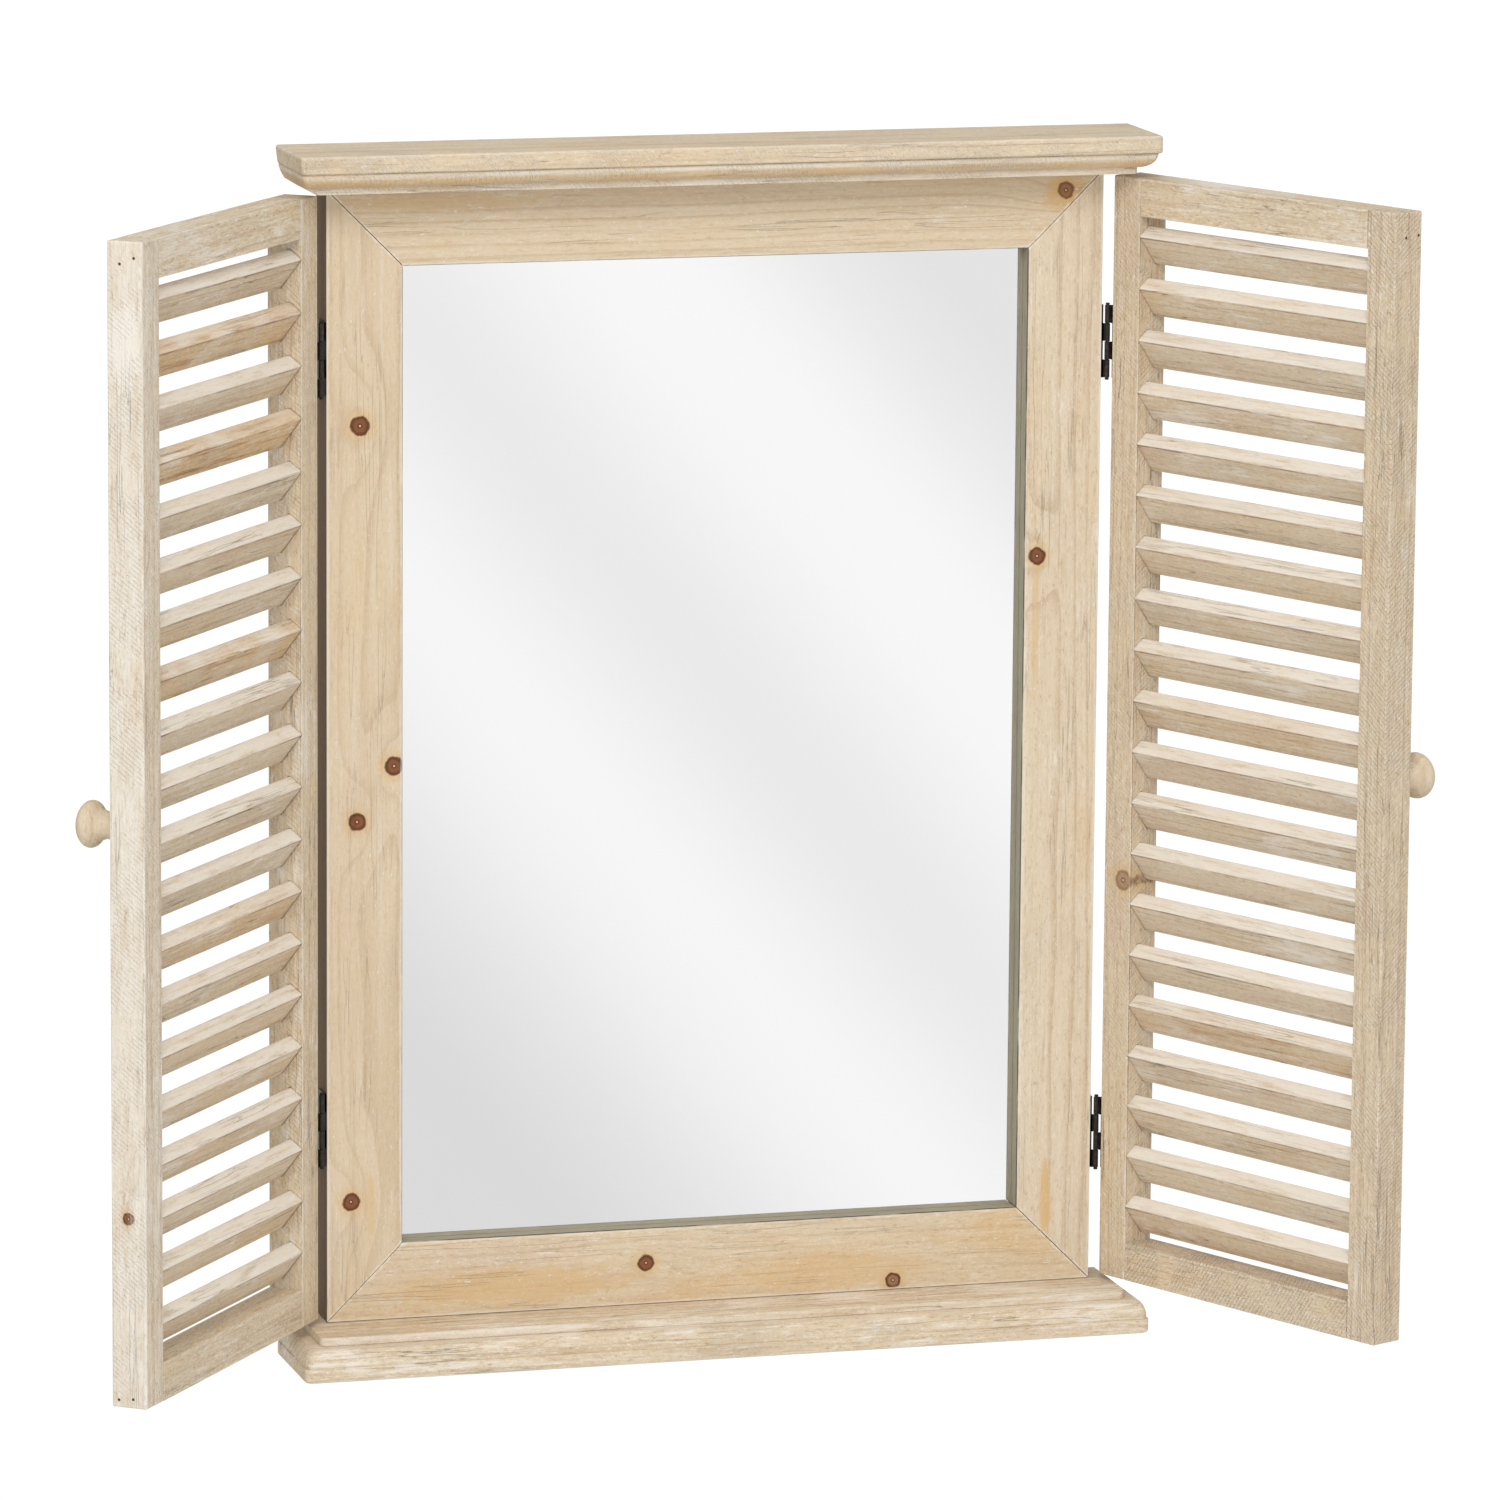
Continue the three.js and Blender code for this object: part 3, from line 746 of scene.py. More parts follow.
# %% Cornice and sill
end_overhang = 21 * mm
moulding_sizes_mm = {
    "cornice": {"board": 9.2, "step": 1.7, "ovolo_height": 7.9, "ovolo_width": 8.7, "shelf": 0,
                "fillet": 3.4, "front": 35, "worn": 1.5, "corner": 2.5},
    "sill": {"board": 7.8, "step": 0.8, "ovolo_height": 9, "ovolo_width": 4.8, "shelf": 4.9,
             "fillet": 4.5, "front": 42, "worn": 1.8, "corner": 4},
}
sanded_at_left = "cornice"
shelf_edge_radius = 0.5 * mm
ovolo_steps = 10
corner_steps = 6
moulding_sharp_angle = 32


def quarter(inset, up, radius, turn_from, steps=4):
    """Points of a quarter circle about (inset, up), from an angle on by 90 degrees."""
    angles = [turn_from + math.pi / 2 * i / steps for i in range(steps + 1)]
    return [(inset - radius * math.cos(angle), up + radius * math.sin(angle)) for angle in angles]


def moulding_outline(size):
    """(inset from the outermost edge, height above the seat), from the seat outward."""
    foot = size["step"] + size["ovolo_width"]
    fillet_inset = foot + size["shelf"]
    board_foot = size["fillet"] + size["ovolo_height"]
    top = board_foot + size["board"]
    points = [(fillet_inset, 0)]
    if size["shelf"] > 0:
        points += quarter(fillet_inset + shelf_edge_radius, size["fillet"] - shelf_edge_radius,
                          shelf_edge_radius, 0)
        points.append((foot, size["fillet"]))
    else:
        points.append((fillet_inset, size["fillet"]))
    for i in range(1, ovolo_steps + 1):
        angle = math.pi / 2 * i / ovolo_steps
        points.append((foot - size["ovolo_width"] * math.sin(angle),
                       size["fillet"] + size["ovolo_height"] * (1 - math.cos(angle))))
    lower = min(size["step"], size["worn"]) * 0.8
    points += quarter(lower, board_foot + lower, lower, -math.pi / 2)
    points += quarter(size["worn"], top - size["worn"], size["worn"], 0)
    return points


def sanded_inset(inset, up, size):
    """The cornice's left end was sanded to one smooth curve, from its top edge to its seat."""
    top = size["fillet"] + size["ovolo_height"] + size["board"]
    share = (top - up) / top
    curve = (size["step"] + size["ovolo_width"]) * (1 - math.sqrt(1 - share ** 2))
    return max(curve, inset if up > top / 2 else 0)


def plan_ring(inset, left_inset, size):
    """Left end, front and right end of the board at one inset, with rounded corners."""
    half = frame_width / 2 + end_overhang
    left, right = -(half - left_inset), half - inset
    front = -(frame_thickness + size["front"] - inset)
    radius = size["corner"]
    ring = [(left, 0)]
    for centre_x, start in ((left + radius, math.pi), (right - radius, 1.5 * math.pi)):
        for i in range(corner_steps + 1):
            angle = start + math.pi / 2 * i / corner_steps
            ring.append((centre_x + radius * math.cos(angle), front + radius + radius * math.sin(angle)))
    return [*ring, (right, 0)]


def build_moulded_board(node, seat, rise, **look):
    """Rise is 1 for a board that stands up from its seat and -1 for one that hangs below it."""
    size = {name: value * mm for name, value in moulding_sizes_mm[node].items()}
    bm = bmesh.new()
    rings = []
    for inset, up in moulding_outline(size):
        left_inset = sanded_inset(inset, up, size) if node == sanded_at_left else inset
        level = seat + rise * (joint_gap + up)
        rings.append([bm.verts.new((x, y, level)) for x, y in plan_ring(inset, left_inset, size)])
    for lower_ring, upper_ring in zip(rings, rings[1:]):
        for i in range(len(lower_ring) - 1):
            bm.faces.new((lower_ring[i], lower_ring[i + 1], upper_ring[i + 1], upper_ring[i]))
    bm.faces.new(rings[0])
    bm.faces.new(rings[-1])
    bm.faces.new([ring[0] for ring in rings] + [ring[-1] for ring in reversed(rings)])
    piece = settle(object_from_bmesh(node + "_board", bm), moulding_sharp_angle)
    low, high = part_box(node)
    dress(piece, limed_pine(node + "_pine", (low + high) / 2, (high - low) / 2, ALONG_X, **look))
    hand_over(piece, "frame", [node])


# Bands in mm up from the middle of the board. On the cornice they paint light and shade across the
# moulding: the pale bands are painted highlights, the honey band is painted shade where the ovolo
# turns in, and the dark line is a painted shadow under the board's front. On the sill they are a
# pale band and two thin darker lines.
cornice_light_and_shade_bands = [(-10.3, -7.2, 0.6, lime_white), (-6.4, -2.4, 0.65, honey),
                 (-1.8, 0.2, 0.5, lime_white), (0.8, 1.3, 0.6, bark_brown)]
sill_bands = [(6.0, 10.3, 0.4, lime_white), (5.6, 6.0, 0.3, latewood), (-3.0, -2.6, 0.5, latewood)]
build_moulded_board("cornice", member_width / 2, 1, seed=5.0, pith=(0.03, 0.05), saw=1.4, streaks=0.2,
                    fibre=0.35, hairlines=0.3, lime=0.45, speckle=0.55, dust=0.5, rubbed=0.2,
                    bands=cornice_light_and_shade_bands)
build_moulded_board("sill", member_width / 2 - frame_height, -1, seed=6.0, pith=(0.05, 0.03), saw=0.3,
                    streaks=0.45, fibre=0.75, hairlines=0.5, lime=0.65, speckle=0.8, dust=0.6,
                    rings=0.6, bands=sill_bands)

# %% [markdown]
# ## Mirror glass
# The glass is silvered on its back, so it shows the room nearly unchanged, with a slight grey.
# A faint haze in clouds and a very slow waviness are what keep it from looking like a hole.

# %% Mirror and backing board
def mirror_material():
    material, w = new_material("silvered_glass")
    local = w.own_position()
    cloud = w.noise(local, 6, 2)
    tint = w.blend(cloud, (0.955, 0.955, 0.955, 1), (0.975, 0.975, 0.975, 1))
    rough = w.plus(0.015, w.times(cloud, 0.02))
    w.surface(tint, rough, w.noise(local, 9, 1), 0.02, 0.5 * mm, Metallic=1.0)
    return material


def hardboard_material():
    material, w = new_material("hardboard")
    local = w.own_position()
    fine = w.noise(local, 900, 4, 0.7)
    broad = w.noise(local, 14, 3)
    colour = w.blend(fine, (0.13, 0.075, 0.04, 1), (0.27, 0.165, 0.09, 1))
    colour = w.tint(colour, broad, 0.4, (0.20, 0.13, 0.08, 1))
    w.surface(colour, w.plus(0.7, w.times(broad, 0.2)), fine, 0.4, 0.2 * mm)
    return material


dress(nodes["mirror_glass"], mirror_material())
dress(nodes["backing_board"], hardboard_material())
print("mirror and backing dressed")

# %% [markdown]
# ## The slats
# Twenty slats stand in each shutter at one pitch and one tilt: a job for Geometry Nodes. The
# tree draws one rounded section, runs it to the slat's length, tilts it and sets a copy at
# every step down the shutter. The same tree, grown by a clearance, gives the cutter for the
# slots in the stiles, so slats and slots always agree.

# %% Slat sizes
slat_count = 20
slats_of_their_own = 16                    # the solids join the lowest four into one
slat_thickness = 8.8 * mm
slat_tilt = math.radians(53)
slat_edge_radius = 1.1 * mm                # tighter than the solids' own, as in the photograph
slat_setback = 0.1 * mm
slat_top_gap = 5 * mm
slat_bottom_gap = 4.5 * mm
housing_depth = 5 * mm
slat_looseness = math.radians(0.5)

slat_run = shutter_thickness - 2 * slat_setback
slat_width = (slat_run - slat_thickness * math.sin(slat_tilt)) / math.cos(slat_tilt)
slat_rise = slat_width * math.sin(slat_tilt) + slat_thickness * math.cos(slat_tilt)
slat_bay = shutter_height - 2 * rail_height
slat_pitch = (slat_bay - slat_top_gap - slat_bottom_gap - slat_rise) / (slat_count - 1)
first_slat = shutter_height / 2 - rail_height - slat_top_gap - slat_rise / 2
slat_length = bay_end - bay_start + 2 * (housing_depth - joint_gap)
print("slat", round(slat_width / mm, 2), "mm wide, pitch", round(slat_pitch / mm, 2), "mm")


# %% Slat tree
def copies_out(w, given, shape, step, rotation):
    """Ends a tree with copies of a shape at equal steps, as real meshes in their material."""
    row = w.node("GeometryNodeMeshLine", {"Count": given["Count"], "Offset": step}, mode="OFFSET")
    copies = w.node("GeometryNodeInstanceOnPoints",
                    {"Points": row, "Instance": shape, "Rotation": rotation})
    real = w.node("GeometryNodeRealizeInstances", {"Geometry": copies})
    painted = w.node("GeometryNodeSetMaterial", {"Geometry": real, "Material": given["Material"]})
    w.node("NodeGroupOutput", {"Geometry": painted})
    return w.tree


def make_slat_tree():
    w, given = new_group("slats", {
        "Count": slat_count, "Pitch": slat_pitch, "Length": slat_length, "Width": slat_width,
        "Thickness": slat_thickness, "Edge radius": slat_edge_radius, "Tilt": slat_tilt,
        "Clearance": 0.0, "Looseness": 0.0, "Seed": 1, "Material": None,
    }, ["Geometry"], "Geometry", "Geometry")
    clearance, length = given["Clearance"], given["Length"]
    grown = w.times(clearance, 2.0)

    section = w.node("GeometryNodeCurvePrimitiveQuadrilateral", {
        "Width": w.plus(given["Width"], grown), "Height": w.plus(given["Thickness"], grown)})
    rounded = w.node("GeometryNodeFilletCurve", {
        "Curve": section, "Count": 4, "Radius": w.plus(given["Edge radius"], clearance)}, mode="POLY")
    face = w.node("GeometryNodeFillCurve", {"Curve": rounded}, mode="NGONS")
    bar = w.node("GeometryNodeExtrudeMesh",
                 {"Mesh": face, "Offset Scale": length, "Individual": False}, mode="FACES")
    closed = w.node("GeometryNodeJoinGeometry", {"Geometry": w.node("GeometryNodeFlipFaces", {"Mesh": face})})
    w.feed(closed.inputs["Geometry"], bar)
    welded = w.node("GeometryNodeMergeByDistance", {"Geometry": closed, "Distance": weld_distance})

    laid = w.node("GeometryNodeTransform", {
        "Geometry": welded, "Rotation": (math.pi / 2, 0, math.pi / 2),
        "Translation": w.join(w.times(length, -0.5), 0, 0)})
    tilted = w.node("GeometryNodeTransform", {"Geometry": laid, "Rotation": w.join(given["Tilt"], 0, 0)})
    wander = w.node("FunctionNodeRandomValue",
                    {"Min": (-1, -1, -1), "Max": (1, 1, 1), "Seed": given["Seed"]},
                    data_type="FLOAT_VECTOR")
    turned = w.vector("MULTIPLY", wander.outputs[0], w.join(given["Looseness"], 0, 0))
    return copies_out(w, given, tilted, w.join(0, 0, w.times(given["Pitch"], -1.0)), turned)


def grow(name, tree, **values):
    """Runs a geometry tree once and keeps its result as a plain mesh object."""
    obj = link(bpy.data.objects.new(name, bpy.data.meshes.new(name)))
    modifier = obj.modifiers.new(tree.name, "NODES")
    modifier.node_group = tree
    identifiers = {
        item.name: item.identifier for item in tree.interface.items_tree
        if item.item_type == "SOCKET" and item.in_out == "INPUT"}
    for key, value in values.items():
        modifier[identifiers[key.replace("_", " ")]] = value
    return settle(obj)


slat_tree = make_slat_tree()
print("slat tree has", len(slat_tree.nodes), "nodes")

# %% [markdown]
# Each slat is its own strip of pine, so its tone and its grain must change from one to the
# next. The material reads the height, finds which slat a point belongs to, and moves the
# pattern to a new place in the log for each of them.

# %% Slat material
# Slats of darker heartwood, counted from 0 at the top, and how dark each is.
honey_slats = {"left": {1: 0.9, 3: 1.0, 7: 0.9, 12: 0.4}, "right": {9: 0.4, 15: 0.5}}
slat_log_place = (0, 0.02, 0.05)            # metres from the pith to a slat's middle,
slat_log_spread = (3, 0.03, 0.08)           # and how widely the slats are scattered there
slat_look = {**usual_look, "streaks": 0.3, "fibre": 0.5, "speckle": 0.65, "dust": 0.35, "rosy": 0.6,
             "hairlines": 0.45, "lime": 0.6, "flecks": 1.0, "relief": 0.7 * mm, "pale": 0.15}


def slat_pine(name, side, seed):
    material, w = new_material(name)
    top_slat = on_shutter(side, bay_middle, shutter_midplane, first_slat)
    local = lay_pattern(w, top_slat.translation, ALONG_X, shutter_turn(side))
    x, y, z = w.split(local)
    number = w.maths("ROUND", w.maths("DIVIDE", z, -slat_pitch))
    within = w.plus(z, w.times(number, slat_pitch))
    on_slat = w.join(x, y, within)
    slat_seed = w.plus(w.times(number, 1.7), seed)
    chance = w.node("ShaderNodeTexWhiteNoise", {"W": w.plus(number, seed * 31.7)},
                    noise_dimensions="1D").outputs
    drawn = w.vector("SUBTRACT", chance["Color"], (0.5, 0.5, 0.5))
    jump = w.vector("ADD", w.vector("MULTIPLY", drawn, slat_log_spread), slat_log_place)
    timber = w.vector("ADD", on_slat, jump)

    patchy = w.ramp(w.noise(on_slat, 24, 2, 0.5, slat_seed), 0.3, 0.55)
    heartwood = 0.0
    for place, amount in honey_slats[side].items():
        chosen = w.near(number, place, 0.6, 0.4)
        heartwood = w.plus(heartwood, w.times(chosen, patchy, amount))
    tone = w.plus(w.times(w.ramp(chance["Value"], 0.6, 1.0), 0.3), heartwood, clamp=True)
    colour, height, rough = pine_colour(w, on_slat, timber, slat_seed, slat_look, tone=tone)
    resin = w.ramp(w.noise(on_slat, 240, 3, 0.65, slat_seed, 0.08), 0.5, 0.64)
    colour = w.tint(colour, w.times(resin, heartwood), 0.85, resin_brown)

    # Across the slat, from its upright end at the inner face: a painted highlight there, and a painted shadow
    # line along the arris just behind it.
    across = w.plus(w.times(y, math.cos(slat_tilt)), w.times(within, math.sin(slat_tilt)))
    from_nose = w.minus(slat_width / 2, across)
    # This noise breaks up both the painted highlight and the painted shadow line.
    worn = w.noise(on_slat, 300, 3, 0.7, slat_seed, 0.1)
    nose_highlight = w.times(w.ramp(from_nose, 0.9 * mm, 0.4 * mm), w.ramp(worn, 0.25, 0.55),
                   w.minus(1.0, w.times(heartwood, 0.6)))
    colour = w.tint(colour, nose_highlight, 0.8, lime_white)
    # A painted shadow line along the arris behind the painted highlight.
    arris = w.times(w.near(from_nose, 1.2 * mm, 0.7 * mm, 0.3 * mm), w.ramp(worn, 0.4, 0.6))
    colour = w.tint(colour, arris, 0.6, knot_brown)
    finish_pine(w, colour, height, rough, slat_look["relief"])
    return material


print("heartwood slats:", honey_slats)

# %% [markdown]
# Stiles and rails are drawn on the closed shutter. The slots in a stile are cut by a short
# copy of the slats, and each board then turns open with its shutter.

# %% Slats, stiles and rails
stile_arris = 0.9 * mm
rail_arris = 0.5 * mm


def build_slats(side, seed):
    slats = grow(f"{side}_slats", slat_tree, Material=slat_pine(f"{side}_slat_pine", side, seed),
                 Looseness=slat_looseness, Seed=int(seed))
    place_mesh(slats, on_shutter(side, bay_middle, shutter_midplane, first_slat))
    numbered = [f"{side}_shutter_slat_{i + 1:02d}" for i in range(slats_of_their_own)]
    hand_over(slats, f"{side}_shutter", [*numbered, f"{side}_shutter_lower_slats"])


def shutter_board(side, role, near, far, bottom, top, arris, segments):
    """A board of the closed shutter, with near and far measured from the pin."""
    corner = (inward[side] * near, outer_face, bottom)
    board = box_object(f"{side}_{role}", corner, (inward[side] * far, inner_face, top))
    return settle(soften(board, arris, segments))


def finish_shutter_board(board, side, role, across, up, half, grain, seed, look):
    node = f"{side}_shutter_{role}"
    centre = on_shutter(side, across, shutter_midplane, up).translation
    place_mesh(board, shutter_place(side))
    dress(board, limed_pine(node + "_pine", centre, half, grain, shutter_turn(side), seed, **look))
    hand_over(board, f"{side}_shutter", [node])


def build_stile(side, role, seed, **look):
    near, mouth = (hinge_offset, bay_start) if role == "hinge_stile" else (bay_end, bay_end)
    far = near + stile_width
    stile = shutter_board(side, role, near, far, -shutter_height / 2, shutter_height / 2, stile_arris, 3)
    stile.modifiers.clear()

    cutter = grow(f"{side}_{role}_cutter", slat_tree, Clearance=joint_gap, Length=2 * housing_depth)
    place_mesh(cutter, move(inward[side] * mouth, shutter_midplane, first_slat))
    cut = stile.modifiers.new("slots", "BOOLEAN")
    cut.object = cutter
    cut.solver = "EXACT"
    settle(stile)
    bpy.data.objects.remove(cutter)

    half = (shutter_height / 2, shutter_thickness / 2, stile_width / 2)
    finish_shutter_board(stile, side, role, (near + far) / 2, 0, half, UPRIGHT, seed, look)


def build_rail(side, role, seed, **look):
    level = (shutter_height - rail_height) / 2 * (1 if role == "top_rail" else -1)
    bottom, top = level - rail_height / 2, level + rail_height / 2
    rail = shutter_board(side, role, bay_start + joint_gap, bay_end - joint_gap, bottom, top, rail_arris, 2)
    half = ((bay_end - bay_start) / 2 - joint_gap, shutter_thickness / 2, rail_height / 2)
    finish_shutter_board(rail, side, role, bay_middle, level, half, ALONG_X, seed, look)


def edge_nails(side, *places):
    """Nail holes in the free edge, in mm up from its middle and behind the inner face."""
    edge = -inward[side] * stile_width / 2
    return [(up * mm, shutter_thickness / 2 - depth * mm, edge) for up, depth in places]


rough_sawn = {"speckle": 0.9, "fibre": 0.75, "flecks": 1.0, "rubbed": 0.12, "relief": 0.9 * mm}

build_slats("left", 20.0)
build_slats("right", 40.0)
build_stile("left", "hinge_stile", 21.0, pith=(0.02, 0.04), lime=0.6, saw=0.5, rosy=0.5, hairlines=0.4,
            **rough_sawn)
build_stile("left", "free_stile", 22.0, pith=(0.03, 0.03), lime=0.65, saw=0.5, pale=0.3,
            bands=[(-9.95, -8.7, 0.9, lime_white)],
            knots=[knot(-195, -9.85, 3, through=(1, 1, 1), Rim=0.7)],
            nails=edge_nails("left", (280.2, 12), (283.3, 4.4), (-287.5, 15.2), (-286.7, 7.4)),
            stains=[((240.7, 0, -9.85), (24, 12, 12), 0.85, lime_white)], **rough_sawn)
build_stile("right", "hinge_stile", 41.0, pith=(0.02, 0.04), lime=0.45, saw=0.4, rosy=0.6, hairlines=0.6,
            knots=[knot(-77.7, 4.6, 5.2, Core=0.55, Rim=0.4)], **rough_sawn)
build_stile("right", "free_stile", 42.0, pith=(0.03, 0.03), lime=0.5, saw=0.8, dust=0.4, hairlines=0.3,
            bands=[(8.7, 9.95, 0.3, latewood)], nails=edge_nails("right", (278.4, 7.8), (279.2, 16.6)),
            stains=[((278.7, 9.5, -9), (2.5, 2, 2), 1.0, lime_white)], **rough_sawn)
build_rail("left", "top_rail", 23.0, pith=(0.03, 0.04), lime=0.7, **rough_sawn)
build_rail("left", "bottom_rail", 24.0, pith=(0.02, 0.05), lime=0.5, saw=0.5, **rough_sawn)
build_rail("right", "top_rail", 43.0, pith=(0.03, 0.04), lime=0.65, hairlines=0.3, **rough_sawn)
build_rail("right", "bottom_rail", 44.0, pith=(0.02, 0.05), saw=1.2, rosy=0.6, **rough_sawn)

# %% [markdown]
# ## The knobs
# A turned knob is a profile spun about its axis: a flared foot, a waisted neck and a
# mushroom head. The dowel behind the foot goes into the stile.

# %% Turned knobs
knob_radius = 11.9 * mm                     # a hair less than the solid's, to stay inside it
knob_height = 21.9 * mm
knob_inset = 11.25 * mm
head_half = 7 * mm
neck_radius = 6.8 * mm
foot_radius = 8.3 * mm
foot_height = 5 * mm
foot_edge = 0.5 * mm
dowel_radius = 3 * mm
dowel_length = 10 * mm
neck_steps = 8
head_steps = 18
knob_steps = 56
knob_sharp_angle = 50


def knob_profile():
    points = [(0, -dowel_length), (dowel_radius, -dowel_length), (dowel_radius, joint_gap)]
    points += [(foot_radius - foot_edge, joint_gap), (foot_radius, joint_gap + foot_edge)]
    for i in range(neck_steps + 1):
        share = i / neck_steps
        radius = neck_radius + (foot_radius - neck_radius) * (1 - share) ** 2.2
        points.append((radius, joint_gap + 2 * foot_edge + (foot_height - joint_gap) * share))
    start = -math.acos(neck_radius / knob_radius)
    for i in range(1, head_steps):
        angle = start + (math.pi / 2 - start) * i / head_steps
        points.append((knob_radius * math.cos(angle), knob_height - head_half + head_half * math.sin(angle)))
    return [*points, (0, knob_height)]


def build_knob(side, seed):
    bm = bmesh.new()
    lathe(bm, knob_profile(), knob_steps)
    knob = settle(object_from_bmesh(f"{side}_knob", bm), knob_sharp_angle)
    seat = on_shutter(side, hinge_offset + shutter_width - knob_inset, outer_face, 0)
    place_mesh(knob, seat @ Matrix.Rotation(math.pi / 2, 4, "X"))
    node = f"{side}_shutter_knob"
    centre = seat @ Vector((0, -knob_height / 2, 0))
    no_arris = [knob_radius * 3] * 3     # so far out that the wear of arrises never shows
    dress(knob, limed_pine(node + "_pine", centre, no_arris, UPRIGHT, shutter_turn(side), seed, lime=0.6))
    hand_over(knob, f"{side}_shutter", [node])


build_knob("left", 61.0)
build_knob("right", 62.0)

# %% [markdown]
# ## The hinges
# Small butt hinges in blackened bronze. Each leaf is a plate let into the gap, with two of the
# four knuckles; the pin with its heads belongs to the frame's leaf. Three countersunk
# screws hold each plate, and they are set in a row by Geometry Nodes.

# %% Bronze
def bronze_material():
    material, w = new_material("blackened_bronze")
    local = w.own_position()
    rubbed = w.ramp(w.noise(local, 320, 4, 0.65), 0.48, 0.72)
    fine = w.noise(local, 1800, 3, 0.6)
    colour = w.tint((0.03, 0.024, 0.02, 1), rubbed, 0.6, (0.12, 0.085, 0.06, 1))
    w.surface(colour, w.plus(0.3, w.times(fine, 0.2)), fine, 0.4, 0.1 * mm, Metallic=0.6)
    return material


bronze = bronze_material()

# %% Hinge sizes
hinge_height = 38 * mm
hinge_insets_mm = {"left": {"upper": 84, "lower": 99}, "right": {"upper": 87, "lower": 76}}
leaf_width = 14 * mm
leaf_thickness = 0.9 * mm
pin_radius = 0.7 * mm
bore_radius = 0.9 * mm
barrel_radius = 1.4 * mm
barrel_ease = 0.15 * mm
barrel_steps = 28
knuckle_count = 4
pin_head_radius = 1.1 * mm
pin_head_end = 1.1 * mm
plate_near = hinge_offset - joint_gap - leaf_thickness
plate_far = hinge_offset - joint_gap
plate_start = barrel_radius + joint_gap
screw_radius = 2.2 * mm
screw_count = 3
screw_pitch = 13 * mm
screw_head_height = 0.35 * mm
screw_slot_width = 0.5 * mm
screw_inset = 0.62 * leaf_width


# %% Screw tree
def make_screw_tree():
    w, given = new_group("screws", {
        "Count": screw_count, "Pitch": screw_pitch, "Head radius": screw_radius,
        "Head height": screw_head_height, "Slot width": screw_slot_width, "Seed": 1, "Material": None,
    }, ["Geometry"], "Geometry", "Geometry")
    radius, height = given["Head radius"], given["Head height"]
    head = w.node("GeometryNodeMeshCone", {
        "Vertices": 24, "Radius Bottom": radius, "Radius Top": w.times(radius, 0.8), "Depth": height})
    slot = w.node("GeometryNodeMeshCube", {"Size": w.join(w.times(radius, 3.0), given["Slot width"], height)})
    raised = w.node("GeometryNodeTransform", {"Geometry": slot, "Translation": w.join(0, 0, height)})
    cut = w.node("GeometryNodeMeshBoolean", {"Mesh 1": head, "Mesh 2": raised},
                 operation="DIFFERENCE", solver="EXACT")
    spin = w.node("FunctionNodeRandomValue", {2: 0.0, 3: math.pi, "Seed": given["Seed"]},
                  data_type="FLOAT")
    return copies_out(w, given, cut, w.join(given["Pitch"], 0, 0), w.join(0, 0, spin.outputs[1]))


screw_tree = make_screw_tree()
print("screw tree has", len(screw_tree.nodes), "nodes")


# %% Hinge leaves
def add_tube(bm, outer, inner, low, high):
    """A round bar along Z, bored through when inner is more than zero, with eased ends."""
    eased = outer - barrel_ease
    profile = [(inner, low), (eased, low), (outer, low + barrel_ease), (outer, high - barrel_ease),
               (eased, high), (inner, high)]
    if inner > 0:
        profile.append((inner, low))
    lathe(bm, profile, barrel_steps)


def leaf_object(name, to_wood, to_leaf, first, with_pin):
    """A plate with every second knuckle from the first; to_wood and to_leaf are 1 or -1."""
    bm = bmesh.new()

    def box(near, start, low, far, end, high):
        add_box(bm, (to_wood * near, to_leaf * start, low), (to_wood * far, to_leaf * end, high))

    half = hinge_height / 2
    share = hinge_height / knuckle_count
    neck = barrel_radius - leaf_thickness
    inner = 0 if with_pin else bore_radius
    box(plate_near, plate_start, -half, plate_far, plate_start + leaf_width, half)
    for i in range(first, knuckle_count, 2):
        top = half - i * share - (joint_gap / 2 if i > 0 else 0)
        bottom = half - (i + 1) * share + (joint_gap / 2 if i < knuckle_count - 1 else 0)
        add_tube(bm, barrel_radius, inner, bottom, top)
        box(inner, neck, bottom, plate_far, barrel_radius, top)
        box(plate_near, neck, bottom, plate_far, plate_start + leaf_thickness, top)
    if with_pin:
        add_tube(bm, pin_radius, 0, -half - joint_gap, half + joint_gap)
        add_tube(bm, pin_head_radius, 0, half + joint_gap, half + pin_head_end)
        add_tube(bm, pin_head_radius, 0, -half - pin_head_end, -half - joint_gap)
    return settle(object_from_bmesh(name, bm))


def build_leaf(side, part, place, first):
    on_frame = part == "frame"
    to_leaf = 1 if on_frame else -1
    to_end = 1 if place == "upper" else -1
    height = to_end * (shutter_height / 2 - hinge_insets_mm[side][place] * mm)
    seat = (hinge_pin(side) if on_frame else shutter_place(side)) @ move(0, 0, height)
    body = "frame" if on_frame else f"{side}_shutter"
    node = f"{side}_{part}_{place}_hinge_leaf"

    leaf = place_mesh(leaf_object(node + "_bronze", inward[side], to_leaf, first, on_frame), seat)
    dress(leaf, bronze)
    hand_over(leaf, body, [node])

    # The screws stand in a row up the plate, with their heads toward the gap.
    screws = grow(node + "_screws", screw_tree, Material=bronze, Seed=first + len(place))
    row_start = move(inward[side] * plate_near, to_leaf * (plate_start + screw_inset), -screw_pitch)
    axes = Matrix(((0, 0, -inward[side]), (0, -inward[side], 0), (1, 0, 0))).to_4x4()
    place_mesh(screws, seat @ row_start @ axes)
    hand_over(screws, body, [])


for side, frame_first in (("left", 0), ("right", 1)):
    for place in ("upper", "lower"):
        build_leaf(side, "frame", place, frame_first)
        build_leaf(side, "shutter", place, 1 - frame_first)

# %% [markdown]
# ## The studio
# The photograph is a plain cut-out on white. A large pale floor lies well below the mirror,
# and one wide soft light from the upper left keeps the shadows faint.

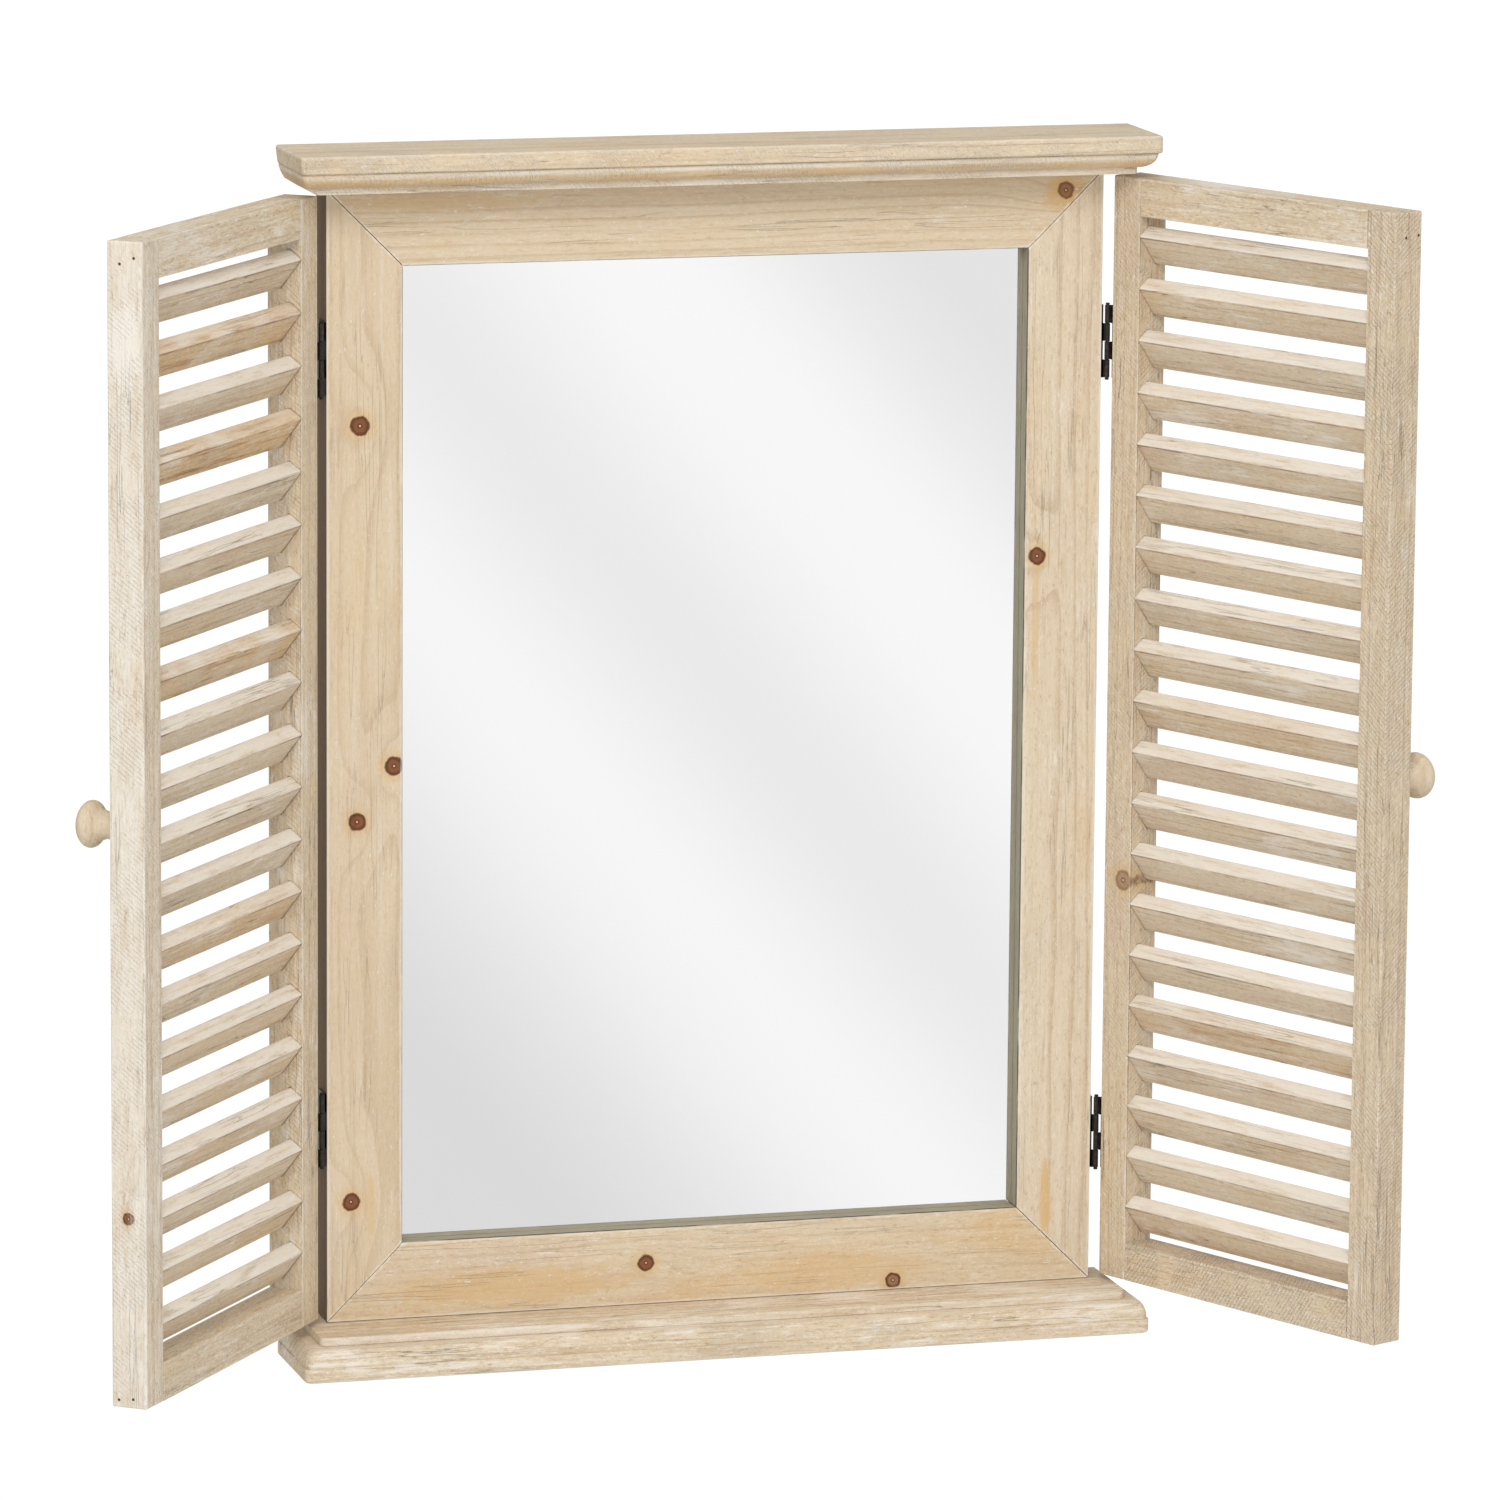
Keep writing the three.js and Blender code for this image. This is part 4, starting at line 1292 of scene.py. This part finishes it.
# %% Floor and light
floor_level = -1.6
floor_half = 2.5
floor_thickness = 0.05


def grey(value):
    return (value, value, value, 1)


def floor_material():
    material, w = new_material("pale_floor")
    shader = w.node("ShaderNodeBsdfPrincipled", {"Base Color": grey(0.9), "Roughness": 0.9})
    w.node("ShaderNodeOutputMaterial", {"Surface": shader})
    return material


floor = box_object("floor", (-floor_half, -floor_half, floor_level - floor_thickness),
                   (floor_half, floor_half, floor_level))
dress(floor, floor_material())

light_position = Vector((-1.2, -3.6, 2.6))
light_data = bpy.data.lights.new("key", "AREA")
light_data.shape = "SQUARE"
light_data.size = 2.0                       # metres
light_data.energy = 78                      # watts
light = link(bpy.data.objects.new("key", light_data))
light.location = light_position
aim = Vector((0, 0, frame_middle)) - light_position
light.rotation_euler = aim.to_track_quat("-Z", "Y").to_euler()

# %% [markdown]
# The room around the mirror is a white sweep. Rays from the camera find it pure white, as a
# cut-out photograph has it, and it lights the wood a little more gently. The mirror looks
# past the camera at one small patch of the sweep, where the edges of two tall diffusion
# screens draw slanting bands: a ramp along one direction of the sky paints those.

# %% The white sweep
bpy.context.scene.view_settings.view_transform = "Standard"
dim_light = 0.27                            # from behind and below
bright_light = 0.84                         # from in front and above
brightest_from = (-0.15, -0.80, 0.58)
seen_white = 1.05
across_bands = (0.777, 0, 0.629)
first_band = 0.035                          # range of that slope which the mirror can see
last_band = 0.145
band_stops = [(0.045, 0.73), (0.13, 0.74), (0.26, 0.86), (0.396, 0.955), (0.556, 0.85), (0.69, 0.94),
              (0.753, 0.965), (0.81, 0.955), (0.87, 0.89), (0.97, 0.80)]

world = bpy.data.worlds.new("studio")
bpy.context.scene.world = world
world.use_nodes = True
world.node_tree.nodes.clear()
w = Wiring(world.node_tree)
direction = w.vector("NORMALIZE", w.node("ShaderNodeTexCoord").outputs["Generated"])
slope = w.vector("DOT_PRODUCT", direction, across_bands)
bands = w.node("ShaderNodeValToRGB", {"Fac": w.ramp(slope, first_band, last_band, "LINEAR")})
bands.color_ramp.interpolation = "CARDINAL"
while len(bands.color_ramp.elements) < len(band_stops):
    bands.color_ramp.elements.new(0.5)
for element, (position, value) in zip(bands.color_ramp.elements, band_stops):
    element.position = position
    element.color = grey(value)
toward_light = w.ramp(w.vector("DOT_PRODUCT", direction, brightest_from), -0.7, 0.7)
soft = w.blend(toward_light, grey(dim_light), grey(bright_light))
rays = w.node("ShaderNodeLightPath").outputs
strength = w.blend(rays["Is Glossy Ray"], soft, bands)
strength = w.blend(rays["Is Camera Ray"], strength, grey(seen_white))
background = w.node("ShaderNodeBackground", {"Color": strength})
w.node("ShaderNodeOutputWorld", {"Surface": background})
print("stage set")

# %% Finish
bpy.context.view_layer.update()
